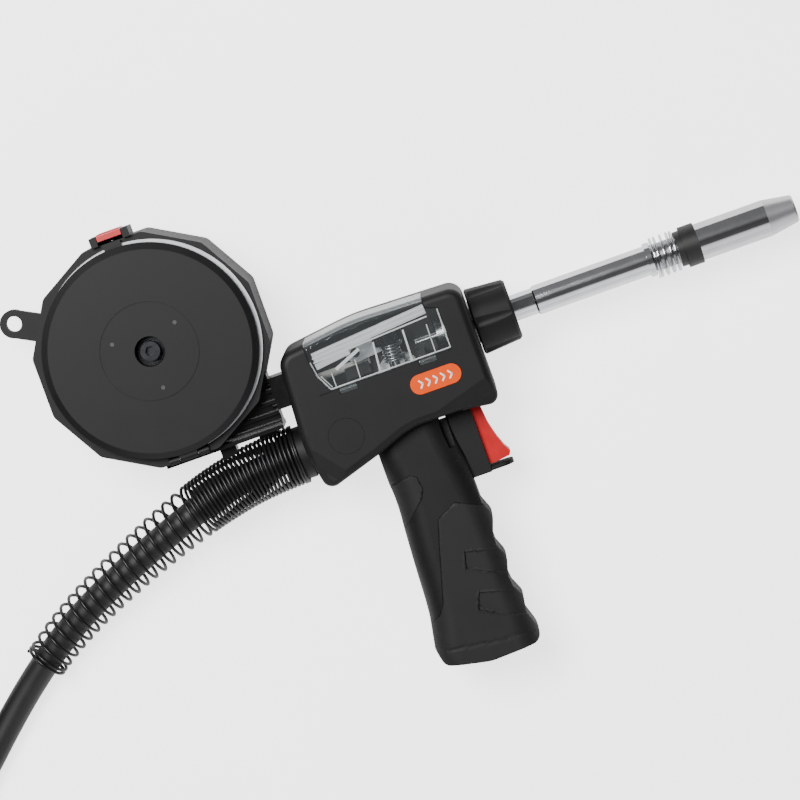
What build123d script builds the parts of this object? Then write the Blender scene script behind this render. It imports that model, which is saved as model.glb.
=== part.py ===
from build123d import *
import math
import os

# MIG spool gun lying on its left side. X runs along the barrel to the nozzle, Y to the gun's top,
# Z up from the bench to the gun's right side. Sizes are millimetres. Shapes are drawn about the
# barrel axis and moved to the row's origin when they are written.

# ---- overall sizes ----
CAN_DEPTH = 62.0          # wire canister, back face to lid face
BODY_WIDTH = 62.0         # gun body across its two shells
GRIP_WIDTH = 39.0         # pistol grip across its two shells
BARREL_END = 231.5        # nozzle tip, along the barrel from the body's datum
GRIP_BASE = -179.4        # lowest point of the grip
MID = CAN_DEPTH / 2       # height of the barrel axis above the bench
BODY_HALF = BODY_WIDTH / 2
GRIP_HALF = GRIP_WIDTH / 2
BODY_TOP = MID + BODY_HALF

# ---- clearances ----
FACE_GAP = 0.3            # between faces of pieces that move past each other
RUN_FIT = 0.05            # radial, shaft in its bore
PART_GAP = 0.15           # between fixed pieces that only nest

# ---- housing ----
WALL = 2.6
BODY_FRONT = 42.6
BODY_REAR = -66.8         # where the cable collar's flange seats
BODY_EDGE = 4.5
BODY_UNDER = -40.0        # inside the body's underside, above the grip
COVER_WALL = 2.0
COVER_FRONT = 27.7
COVER_REAR = -49.0
COVER_LOW = -7.0
COVER_LEFT = MID - 12.0   # the clear cover wraps over the top as far as this
COVER_PIN_R = 0.75
COVER_KNUCKLE_R = 1.55
COVER_PIN_Y = COVER_LOW - 1.8
COVER_PIN_Z = BODY_TOP - 1.65
PAD_SKIN = 1.3            # soft pads on the grip
GRIP_ROUND = 14.0
GRIP_THROAT = (-26.0, 11.0, -60.0, -38.0)   # opening between body and grip: rear, front, low, high
BADGE_LENGTH = 29.0
BADGE_WIDTH = 11.0
BADGE_RISE = 0.7
CAP_R = 10.0
CAP_T = 1.5
CAP_X = -43.0
CAP_Y = -33.0
BADGE_X = 13.7
BADGE_Y = -19.8

# ---- trigger ----
BAY_HALF = 9.5
BAY_WALL = 3.3
TRIGGER_HALF = BAY_HALF - BAY_WALL - FACE_GAP
BAY_REAR = 8.0
BAY_BACK = 15.0
BAY_FRONT = 25.3
BAY_MOUTH = 34.0
BAY_HIGH = -30.0
TRIGGER_PIN_X = 26.0
TRIGGER_PIN_Y = -38.5
TRIGGER_PIN_R = 1.5
PIN_BOSS_X = 4.0          # half sizes of the bosses that hold the trigger pin
PIN_BOSS_Y = 3.0
GUARD_TOP = -78.2
GUARD_T = 2.3
GUARD_REAR = 12.0
GUARD_FRONT = 38.6
GUARD_HALF = BAY_HALF - 1.5
GUARD_ROUND = 6.0
SWITCH_REAR = 4.0
SWITCH_FRONT = 13.5
SWITCH_LOW = -63.0
SWITCH_HIGH = -45.0
PLUNGER_Y = -58.0
PLUNGER_TIP = 18.0
PLUNGER_R = 1.2
SWITCH_ROOM = 3.0         # clear depth above and below the switch
RETURN_Y = -70.0          # trigger return spring
RETURN_TIP = 20.7
RETURN_R = 2.6
RETURN_BORE_R = 1.8

# ---- front end ----
NUT_R = 19.0
NUT_REAR = BODY_FRONT + 0.9
NUT_LENGTH = 23.0
NUT_FRONT = NUT_REAR + NUT_LENGTH
SOCKET_R = 12.0
NECK_REAR_R = 7.3
NECK_R = 8.3
NECK_STEP = 80.0
NECK_END = 148.5
COLLAR_R = 9.6
SPRING_SEAT = 163.0
SOCKET_REAR = 22.0        # neck socket inside the body
SOCKET_FLANGE_X = 26.0
SOCKET_FLANGE_R = 14.0
GUIDE_BOSS_END = 34.0
GUIDE_BOSS_R = 9.0
NUT_LIP = 4.5             # front nut's lip over the socket
FLUTES = 6
FLUTE_R = 5.0
FLUTE_OUT = NUT_R + 3.2
NECK_BORE_R = 5.0
NECK_SLOT = (13.0, 5.5)   # key slot, length and width
SLOT_BACK = 7.5
NOZZLE_SPRING_R = 11.6
NOZZLE_WIRE = 1.5
RING_R = 11.6
RING_START = 166.5
NOZZLE_START = 175.0
NOZZLE_R = 10.4
NOZZLE_WALL = 1.6
NOZZLE_TIP_R = 7.9
TAPER_LENGTH = 16.5
DIFFUSER_R = 6.2
DIFFUSER_BODY_R = 7.6
DIFFUSER_NOSE_R = 6.6
DIFFUSER_IN = 12.0        # length inside the neck
DIFFUSER_OUT = 14.0       # length inside the nozzle
DIFFUSER_HOLES = 6
TIP_THREAD_R = 3.0
TIP_SET = 10.0            # tip's thread inside the diffuser
TIP_BACK = 5.0            # tip's end, behind the nozzle's mouth
TIP_NOSE = 6.0
TIP_NOSE_R = 2.6
TIP_BORE_R = 0.6
TIP_R = 4.0
RING_BORE_R = 8.4
RING_NECK_R = 10.0

# ---- wire canister ----
CAN_X = -128.3
CAN_Y = 46.9
CAN_FLAT = 63.2           # centre to each of the twelve flats
CAN_SIDES = 12
CAN_WALL = 2.6
CAN_CORNER = 6.0
CAN_EDGE = 2.5
RIM_HIGH = 4.0            # shell rim round the mouth
SHELL_TOP = 54.0
MOUTH_R = 57.2
LID_R = 59.6
LID_FLAT_R = 56.0
LID_SKIN = 2.4
LID_RIM = 2.0
LID_SPIGOT = 4.5          # how far the lid's rim reaches into the mouth
LID_GROOVE_R = 27.5
SEAL_T = 1.6
SEAL_R = LID_R + 0.7
SEAL_SHIFT = (1.4, 0.5)   # the seal sits off centre and shows as a crescent on the body's side
LID_LOW = SHELL_TOP + FACE_GAP + SEAL_T
LID_HOLE_R = 8.45
HINGE_OUT = 61.7          # hinge line from the canister's centre
HINGE_Z = SHELL_TOP + 1.3
HINGE_R = 2.2
HINGE_PIN_R = 0.9
HINGE_HALF = 11.5         # half the hinge's length
HINGE_INNER = 5.6         # half the gap between the shell's knuckles
LID_KNUCKLE = HINGE_INNER - 0.4
EYE_X = -197.0
EYE_Y = 85.0
EYE_R = 8.0
EYE_HOLE_R = 4.3
EYE_T = 5.0
EYE_TURN = -28.0
EYE_NECK = 7.8
EYE_REACH = 19.0
LATCH_WIDTH = 22.4
LATCH_LOW = 33.0
LATCH_HIGH = 58.0
LATCH_FLOOR = 3.4
LATCH_SPRING_Z = 46.0
LATCH_SPRING_R = 2.6
LATCH_SPRING_BORE_R = 2.0
TONGUE_HALF = 5.0
TONGUE_T = 2.0
BUTTON_WIDTH = 13.8
BUTTON_T = 3.9
BUTTON_TRAVEL = 2.0
BUTTON_LOW = CAN_Y + CAN_FLAT + BUTTON_TRAVEL + FACE_GAP
BUTTON_TOP = BUTTON_LOW + BUTTON_T
EYE_TIP = EYE_X - EYE_R

# ---- spool ----
SPOOL_R = 50.0
SPOOL_WIDTH = 44.0
SPOOL_BORE_R = 8.25
SPOOL_LOW = CAN_WALL + 2.0
SPOOL_FLANGE = 2.0
SPOOL_CORE_R = 21.0
WIRE_R = 43.0
SPOOL_HIGH = SPOOL_LOW + SPOOL_WIDTH
SPOOL_HOLE_R = 3.5        # four holes in the spool's web
SPOOL_HOLE_OUT = 14.5
SPINDLE_FOOT_R = 14.0
SPINDLE_SCREW_R = 3.0
SCREW_HEAD_R = 5.4
SCREW_HEAD_TALL = 6.0
SCREW_HEAD_LOW = CAN_DEPTH - 8.0
HEX_HALF = 2.5
BRAKE_WASHER_R = 8.0
BRAKE_WASHER_T = 1.6
BRAKE_SPRING_R = 5.2
BRAKE_SPRING_BORE_R = 4.0

# ---- wire feed ----
WIRE_GAP = 0.4            # half the wire between the rolls
ROLL_X = -4.5
DRIVE_ROLL_R = 12.0
ROLL_HALF = 4.0
PRESS_ROLL_R = 8.5
SHAFT_R = 3.0
WHEEL_R = 10.5
WHEEL_TEETH = 30
WHEEL_WIDTH = 6.0
WORM_R = 4.0
PLATE_LOW = MID - 8.5
PLATE_T = 3.5
DRIVE_Y = -WIRE_GAP - DRIVE_ROLL_R
PRESS_Y = WIRE_GAP + PRESS_ROLL_R
WHEEL_LOW = PLATE_LOW - 2.0 - WHEEL_WIDTH
WORM_Y = DRIVE_Y - WHEEL_R - WORM_R - FACE_GAP
WORM_Z = WHEEL_LOW + WHEEL_WIDTH / 2
MOTOR_ROOM = 1.9          # between the motor and the left shell's wall
MOTOR_R = BODY_HALF - WALL - MOTOR_ROOM - (MID - WORM_Z)
MOTOR_LENGTH = 44.0
WORM_REAR = -16.9
WORM_FRONT = 4.0
MOTOR_REAR = WORM_REAR - FACE_GAP - MOTOR_LENGTH
PIVOT_X = -24.0
PIVOT_Y = 7.0
ARM_RISE = 5.0            # pressure arm above the barrel axis
ARM_T = 3.5
KNOB_LIFT = 0.5           # tension nut above the pressure arm
KNOB_DEPTH = 3.0          # tension nut below the clear cover
NUT_KNOB_R = (BODY_HALF - COVER_WALL - KNOB_DEPTH - ARM_RISE - ARM_T - KNOB_LIFT) / 2
STUD_Z = MID + ARM_RISE + ARM_T + KNOB_LIFT + NUT_KNOB_R
KNOB_LOW = 6.5
KNOB_HIGH = 14.6
LUG_TOP = -4.0
GUIDE_R = 2.2
GUIDE_BORE_R = 1.0
GUIDE_MOUTHS = (-18.0, 9.0)   # where the inlet guide ends and the outlet guide starts
PLATE = (-34.0, 21.0, -24.0, 14.0)   # feed plate: rear, front, low, high
PLATE_CORNER = 4.0
PLATE_POSTS = [(-29.0, 9.0), (16.0, 9.0), (16.0, -19.0)]
POST_R = 3.0
GUIDE_BLOCKS = [(-33.0, -19.0), (9.0, 20.0)]
BLOCK_RISE = 3.0          # guide blocks above the barrel axis
BLOCK_BASE = -6.5
STUD_R = 2.0
STUD_LOW = -12.0          # foot of the tension screw
POST_FRONT = 13.0
PIVOT_R = 2.5
ROLL_PIN_R = 2.5
PRESS_ROLL_HALF = 3.8
SHAFT_TAIL = 3.0
ARM_WIDTH = 11.0
LUG_T = 3.0
LUG_HALF = 5.0
NOTCH_HALF = 3.3
TENSION_R = 5.2
TENSION_BORE_R = 4.0
KNURLS = 24
KNURL_R = 0.6
WORM_PITCH = 2.4
WORM_THREADS = 3          # each side of the wheel's centre
THREAD_HALF = 0.55
THREAD_DEPTH = 1.2

# ---- cable and its route, as points of the cable's own line in barrel coordinates ----
CABLE_R = 7.9
COLLAR_X = -72.5
CABLE_Y = -36.5
GLAND_R = 15.0
ROUTE = [
    (-64.0, CABLE_Y, MID), (-92.0, -36.9, 30.6), (-124.0, -43.0, 28.0), (-156.0, -54.0, 24.5),
    (-188.0, -67.2, 20.8), (-220.0, -82.2, 17.2), (-248.0, -100.0, 12.0), (-276.0, -122.5, 8.6),
    (-305.0, -149.6, 8.1), (-334.8, -176.4, 8.1),
]
COIL_X = -410.0
COIL_Y = -94.0
COIL_TURNS = [111.6, 95.8, 80.0, 88.0, 104.0]   # radii, outside in on the bench, then out on top
COIL_HEIGHT = 2 * CABLE_R + 13.7
COIL_LAST = 0.368         # share of the last turn
TAIL = [
    (-514.0, -94.0, 21.6), (-514.6, -62.0, 18.5), (-517.0, -30.0, 17.5), (-520.0, 2.0, 20.0),
    (-521.5, 30.0, 23.4), (-521.5, 58.0, 24.6),
]
SPRING_RADII = [17.2, 16.9, 16.6, 15.6, 14.6, 13.6]
SPRING_WIRE = 1.9
SPRING_END = (-241.0, -95.6, 13.6)
COLLAR_SPIGOT_R = GLAND_R - 2
COLLAR_SPIGOT = 9.0
GLAND_NECK_R = GLAND_R - 4
PLUG_NUT_R = 24.0
PLUG_NUT_LENGTH = 25.0
PLUG_Z = 24.6
PLUG_STEPS = [(0.0, 14.0, 13.0), (14.0, 60.0, 19.0), (60.0, 92.0, 16.0)]   # start, end, radius
PLUG_END = PLUG_STEPS[-1][1]
PLUG_PIN_R = 5.0
PLUG_PIN_BORE_R = 1.5
PLUG_PIN_LENGTH = 20.0
CONTROL_PIN_R = 2.0
CONTROL_PIN_LENGTH = 8.0
CONTROL_PIN_X = 9.5
CONTROL_PIN_Z = 5.0
GRIP_GROOVES = 18
GROOVE_R = 1.4

SHIFT = Pos(-(BARREL_END + EYE_TIP) / 2, -(BUTTON_TOP + GRIP_BASE) / 2, 0)


def box(x0, x1, y0, y1, z0, z1):
    centre = Pos((x0 + x1) / 2, (y0 + y1) / 2, (z0 + z1) / 2)
    return centre * Box(abs(x1 - x0), abs(y1 - y0), abs(z1 - z0))


def rod_x(x0, x1, y, z, r_out, r_in=0.0):
    place = Pos((x0 + x1) / 2, y, z) * Rot(0, 90, 0)
    rod = place * Cylinder(r_out, abs(x1 - x0))
    if r_in > 0:
        rod -= place * Cylinder(r_in, abs(x1 - x0) + 2)
    return rod


def rod_y(x, z, y0, y1, r_out, r_in=0.0):
    place = Pos(x, (y0 + y1) / 2, z) * Rot(90, 0, 0)
    rod = place * Cylinder(r_out, abs(y1 - y0))
    if r_in > 0:
        rod -= place * Cylinder(r_in, abs(y1 - y0) + 2)
    return rod


def rod_z(x, y, z0, z1, r_out, r_in=0.0):
    place = Pos(x, y, (z0 + z1) / 2)
    rod = place * Cylinder(r_out, abs(z1 - z0))
    if r_in > 0:
        rod -= place * Cylinder(r_in, abs(z1 - z0) + 2)
    return rod


def turned(points):
    """A solid turned about the barrel axis from (x, radius) points."""
    face = Plane.XY * make_face(Polyline([(x, r, 0) for x, r in points], close=True))
    return Pos(0, 0, MID) * revolve(face, Axis.X, 360)


def rounded(points, radii):
    return make_face(FilletPolyline([(x, y, 0) for x, y in points], radius=radii, close=True))


def prism(points, z0, z1):
    face = make_face(Polyline([(x, y, 0) for x, y in points], close=True))
    return Pos(0, 0, z0) * extrude(face, amount=z1 - z0)


def save(name, shape):
    solids = shape.solids()
    placed = SHIFT * (solids[0] if len(solids) == 1 else shape)
    export_step(placed, f"parts/{name}.step")


# ---- housing ----

def body_outline():
    corners = [(-64.3, 20.5), (-20, 26.0), (BODY_FRONT, 24.0), (BODY_FRONT + 0.5, -44.3),
               (20, -41.0), (-8, -41.0), (-30, -49.0), (-62.5, -59.0), (-67.6, -33)]
    return rounded(corners, [9, 120, 8, 5.5, 40, 40, 60, 6, 60])


def grip_outline():
    corners = [(-30.5, -40), (-31.5, -95), (-34.5, -145), (-38.0, -164), (-35.5, -174),
               (-10, GRIP_BASE), (20.4, GRIP_BASE + 1.2), (20.2, -170), (17.0, -161),
               (18.6, -151.5), (15.0, -144.5), (14.3, -138), (17.4, -127.5), (14.0, -120),
               (13.9, -114), (17.9, -103), (14.2, -94.5), (13.8, -40)]
    return rounded(corners, [2, 300, 60, 6, 5, 30, 5, 6, 4, 6, 4, 4, 8, 4, 4, 7, 4, 2])


# distance along the grip, rear edge, front edge
GRIP_SECTIONS = [(-36, -30.5, 14.3), (-70, -31.0, 15.2), (-100, -32.0, 18.4), (-130, -33.6, 18.8),
                 (-150, -35.6, 19.4), (-164, -38.4, 20.2), (GRIP_BASE, -37.0, 21.0)]


def grip_form(inset):
    """The grip's rounded column, trimmed to its outline."""
    slices = []
    for y, rear, front in GRIP_SECTIONS:
        width = front - rear - 2 * inset
        depth = GRIP_WIDTH - 2 * inset
        place = Plane(origin=((rear + front) / 2, y, MID), x_dir=(1, 0, 0), z_dir=(0, -1, 0))
        slices.append(place * RectangleRounded(width, depth, GRIP_ROUND - inset))
    trim = extrude(offset(grip_outline(), -inset) if inset else grip_outline(), amount=GRIP_HALF, both=True)
    return loft(slices) & Pos(0, 0, MID) * trim


def rounded_block(outline, half, edge):
    half_block = extrude(outline, amount=half)
    half_block = fillet(half_block.faces().sort_by(Axis.Z)[-1].edges(), edge)
    return Pos(0, 0, MID) * (half_block + mirror(half_block, about=Plane.XY))


# three points on each shallow cut that shapes the body's side, the last one at the lowest edge
SIDE_CUTS = [[(0, -39, 0), (43, -27, 0), (43, -44.3, 2.0)],
             [(-64.5, -32, 0), (-48, -52.5, 0), (-62.5, -59, 2.2)]]


def side_cut(points):
    first, second, low = [Vector(x, y, BODY_HALF - depth) for x, y, depth in points]
    normal = (second - first).cross(low - first)
    if normal.Z < 0:
        normal = normal * -1
    above = Plane(origin=first, z_dir=normal) * Pos(0, 0, 20) * Box(200, 200, 40)
    return Pos(0, 0, MID) * (above + mirror(above, about=Plane.XY))


def inner_block(outline, half, inset):
    inner = extrude(offset(outline, -inset), amount=half - inset)
    return Pos(0, 0, MID) * (inner + mirror(inner, about=Plane.XY))


def window_prism(gap):
    rear = COVER_REAR + gap
    front = COVER_FRONT - gap
    low = COVER_LOW + gap
    outline = [(rear, 40), (rear, 12), (rear + 1.5, 3), (rear + 6.4, low), (front, low),
               (front, 17 - gap), (front - 6.7, 19 - gap), (front - 6.7, 40)]
    return prism(outline, COVER_LEFT + gap, BODY_TOP + 5)


COVER_EARS = [(-38.0, -28.0), (8.0, 18.0)]
EAR_HALF = 0.9
EAR_REACH = 1.5


def cover_ears():
    blocks = []
    for x0, x1 in COVER_EARS:
        ear = rod_x(x0, x1, COVER_PIN_Y, COVER_PIN_Z, COVER_KNUCKLE_R)
        ear += box(x0, x1, COVER_PIN_Y, COVER_LOW + EAR_REACH, COVER_PIN_Z - EAR_HALF,
                   COVER_PIN_Z + EAR_HALF)
        blocks.append(ear)
    return blocks[0] + blocks[1:]


def cover_swing_room():
    """What the cover's ears and its hinged edge sweep as it opens."""
    corner = math.hypot(COVER_LOW + FACE_GAP - COVER_PIN_Y, COVER_PIN_Z - BODY_TOP + COVER_WALL)
    edge = rod_x(COVER_REAR, COVER_FRONT, COVER_PIN_Y, COVER_PIN_Z, corner + FACE_GAP)
    room = edge & box(COVER_REAR, COVER_FRONT, COVER_PIN_Y + 1, COVER_LOW + 1,
                      COVER_PIN_Z + EAR_HALF, BODY_TOP + 1)
    for x0, x1 in COVER_EARS:
        x0 -= FACE_GAP
        x1 += FACE_GAP
        room += rod_x(x0, x1, COVER_PIN_Y, COVER_PIN_Z, COVER_KNUCKLE_R + FACE_GAP)
        room += box(x0, x1, COVER_PIN_Y, COVER_LOW + EAR_REACH, COVER_PIN_Z - EAR_HALF - FACE_GAP,
                    BODY_TOP + 1)
        room += box(x0, x1, COVER_PIN_Y - COVER_KNUCKLE_R, COVER_PIN_Y, COVER_PIN_Z, BODY_TOP + 1)
    return room


HINGE_RAIL = (-44.0, 24.0)

FRONT_PAD = [(40, -98), (14.5, -95.6), (0, -88.5), (-12, -95), (-16.5, -110), (-25, -140),
             (-29, -146), (-50, -158), (-50, -195), (40, -195)]
REAR_PAD = [(-50, -74), (-30.5, -69), (-18, -66.5), (-14.5, -68.5), (-13.5, -76), (-16, -81),
            (-31.5, -95.5), (-50, -110)]
SCREW_SPOTS = [(-55, 14), (36, 18.4), (36, -34), (-56, -50.5), (-8, -86), (-8, -160)]
SCREW_R = 1.5
SCREW_HEAD = 3.0
SCREW_HEAD_T = 2.6
SCREW_SINK = 3.0          # depth of the counterbore
SCREW_BLIND = 4.0         # plastic left above the pilot hole
SCREW_LENGTH_UP = 8.0     # screw's end above the barrel axis
SOCKET_HALF = 1.3
BOSS_R = 4.0
GRIP_SCREWS_BELOW = -60.0


def screw_reach(y):
    """Half the housing's width at a screw: the grip's below the body, else the body's."""
    return GRIP_HALF if y < GRIP_SCREWS_BELOW else BODY_HALF


def housing():
    """The two half shells, the soft pads and the clear cover, all cut from the same outer form."""
    body = rounded_block(body_outline(), BODY_HALF, BODY_EDGE)
    for points in SIDE_CUTS:
        body -= side_cut(points)
    grip = grip_form(0)
    body_inner = inner_block(body_outline(), BODY_HALF, WALL)
    grip_inner = grip_form(WALL)
    bay = box(BAY_REAR, BAY_FRONT, GUARD_TOP - WALL, BODY_UNDER, MID - BAY_HALF, MID + BAY_HALF)
    guard = box(GUARD_REAR, GUARD_FRONT, GUARD_TOP - GUARD_T, GUARD_TOP, MID - GUARD_HALF,
                MID + GUARD_HALF)
    guard = fillet(guard.edges().filter_by(Axis.Y).sort_by(Axis.X)[-2:], GUARD_ROUND)
    outer = body + grip + bay + guard
    inner = body_inner + grip_inner
    inner += box(*GRIP_THROAT, MID - GRIP_HALF + WALL, MID + GRIP_HALF - WALL)
    shell = outer - inner
    for x, y in SCREW_SPOTS:
        reach = screw_reach(y)
        shell += rod_z(x, y, MID - reach + 1, MID + reach - 1, BOSS_R)
        shell -= rod_z(x, y, MID - reach - 1, MID + reach - SCREW_BLIND, SCREW_R + PART_GAP)
        shell -= rod_z(x, y, MID - reach - 1, MID - reach + SCREW_SINK, SCREW_HEAD + PART_GAP)
    trigger_room = BAY_HALF - BAY_WALL
    shell -= box(BAY_BACK, BAY_MOUTH, GUARD_TOP + 0.8, BAY_HIGH, MID - trigger_room,
                 MID + trigger_room)
    shell -= box(SWITCH_REAR - 1, BAY_BACK + 1, SWITCH_LOW - SWITCH_ROOM, SWITCH_HIGH + SWITCH_ROOM,
                 MID - trigger_room, MID + trigger_room)
    for low, high in ((MID - BODY_HALF + WALL, MID - trigger_room),
                      (MID + trigger_room, MID + BODY_HALF - WALL)):
        shell += box(TRIGGER_PIN_X - PIN_BOSS_X, TRIGGER_PIN_X + PIN_BOSS_X,
                     TRIGGER_PIN_Y - PIN_BOSS_Y, TRIGGER_PIN_Y + PIN_BOSS_Y, low, high)
    shell -= rod_z(TRIGGER_PIN_X, TRIGGER_PIN_Y, MID - BAY_HALF, MID + BAY_HALF, TRIGGER_PIN_R)
    # clear cover and the rail that carries its hinge
    cover_skin = body - inner_block(body_outline(), BODY_HALF, COVER_WALL)
    cover = cover_skin & window_prism(FACE_GAP)
    ears = cover_ears()
    ears -= body_inner & box(-60, 40, COVER_LOW + FACE_GAP, 0, 0, COVER_PIN_Z - 1.0)
    cover += ears
    cover -= rod_x(HINGE_RAIL[0], HINGE_RAIL[1], COVER_PIN_Y, COVER_PIN_Z, COVER_PIN_R + RUN_FIT)
    shell += box(HINGE_RAIL[0], HINGE_RAIL[1], COVER_PIN_Y - 2.2, COVER_LOW, BODY_TOP - 5,
                 BODY_TOP - WALL + 0.1) & body
    shell -= window_prism(0)
    shell -= cover_swing_room()
    shell -= rod_x(HINGE_RAIL[0], HINGE_RAIL[1] + 0.1, COVER_PIN_Y, COVER_PIN_Z, COVER_PIN_R)
    # openings for the neck socket, cable collar, canister arm screws, cap and badge
    shell -= rod_x(BODY_FRONT - 6, BODY_FRONT + 6, 0, MID, SOCKET_R)
    shell -= rod_x(-75, -55, CABLE_Y, MID, GLAND_NECK_R)
    for y, z in ARM_SCREWS:
        shell -= rod_x(-75, -58, y, MID + z, ARM_SCREW_R + RUN_FIT)
    shell -= rod_x(-75, -55, 0, MID, GUIDE_R)
    shell -= rod_z(CAP_X, CAP_Y, BODY_TOP - CAP_T, BODY_TOP + 2, CAP_R)
    # soft pads let into the grip
    pad_zone = grip - grip_form(PAD_SKIN)
    pads = {}
    keep_clear = box(-60, 60, GUARD_TOP - 9, -30, MID - BODY_HALF, MID + BODY_HALF)
    for name, points in (("grip_front_pad", FRONT_PAD), ("grip_rear_pad", REAR_PAD)):
        pad = pad_zone & prism(points, 0, CAN_DEPTH)
        if name == "grip_front_pad":
            pad -= keep_clear
        for x, y in SCREW_SPOTS:
            pad -= rod_z(x, y, MID - GRIP_HALF - 1, MID - GRIP_HALF + 5, BOSS_R)
        pads[name] = pad
        shell -= pad
    right_half = box(-90, 60, -200, 60, MID, MID + BODY_HALF + 10)
    left_half = box(-90, 60, -200, 60, MID - BODY_HALF - 10, MID)
    save("body_shell_right", biggest(shell & right_half))
    save("body_shell_left", biggest(shell & left_half))
    for name, pad in pads.items():
        save(name + "_right", biggest(pad & right_half))
        save(name + "_left", biggest(pad & left_half))
    save("clear_cover", biggest(cover))
    save("cover_hinge_pin", rod_x(HINGE_RAIL[0] + 0.5, HINGE_RAIL[1], COVER_PIN_Y, COVER_PIN_Z,
                                  COVER_PIN_R))


def biggest(shape):
    return shape.solids().sort_by(SortBy.VOLUME)[-1]


def housing_trim():
    """Badge, blank cap and the screws that hold the two half shells together."""
    pill = extrude(SlotOverall(BADGE_LENGTH, BADGE_WIDTH), amount=BADGE_RISE)
    save("badge", Pos(BADGE_X, BADGE_Y, BODY_TOP) * pill)
    save("blank_cap", rod_z(CAP_X, CAP_Y, BODY_TOP - CAP_T, BODY_TOP + 0.1, CAP_R - PART_GAP))
    screws = []
    for x, y in SCREW_SPOTS:
        low = MID - screw_reach(y) + SCREW_SINK - SCREW_HEAD_T
        screw = rod_z(x, y, low + SCREW_HEAD_T, MID + SCREW_LENGTH_UP, SCREW_R)
        screw += rod_z(x, y, low, low + SCREW_HEAD_T, SCREW_HEAD)
        screw -= rod_z(x, y, low - 0.5, low + 1.4, SOCKET_HALF)
        screws.append(screw)
    save("housing_screws", screws[0] + screws[1:])


# ---- trigger ----

def trigger():
    """Red trigger on its cross pin, with its return spring and the switch behind it."""
    outline = [(21.5, -34.5), (30.5, -34.5), (31.0, -44), (32.0, -55), (34.0, -63), (36.5, -70),
               (38.8, -73.6), (37.4, -75.8), (28, -76.9), (21.5, -76), (20.5, -60)]
    face = rounded(outline, [3, 3, 20, 20, 20, 10, 1.2, 0.8, 10, 1, 40])
    blade = Pos(0, 0, MID) * extrude(face, amount=TRIGGER_HALF, both=True)
    blade -= rod_z(TRIGGER_PIN_X, TRIGGER_PIN_Y, 0, CAN_DEPTH, TRIGGER_PIN_R + RUN_FIT)
    save("trigger", blade)
    save("trigger_pin", rod_z(TRIGGER_PIN_X, TRIGGER_PIN_Y, MID - BAY_HALF, MID + BAY_HALF,
                              TRIGGER_PIN_R))
    save("trigger_spring", rod_x(BAY_BACK, RETURN_TIP, RETURN_Y, MID, RETURN_R, RETURN_BORE_R))
    switch_half = BAY_HALF - BAY_WALL
    switch = box(SWITCH_REAR, SWITCH_FRONT, SWITCH_LOW, SWITCH_HIGH, MID - switch_half,
                 MID + switch_half)
    switch += rod_x(SWITCH_FRONT, PLUNGER_TIP, PLUNGER_Y, MID, PLUNGER_R)
    save("microswitch", switch)


# ---- front end ----

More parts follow.
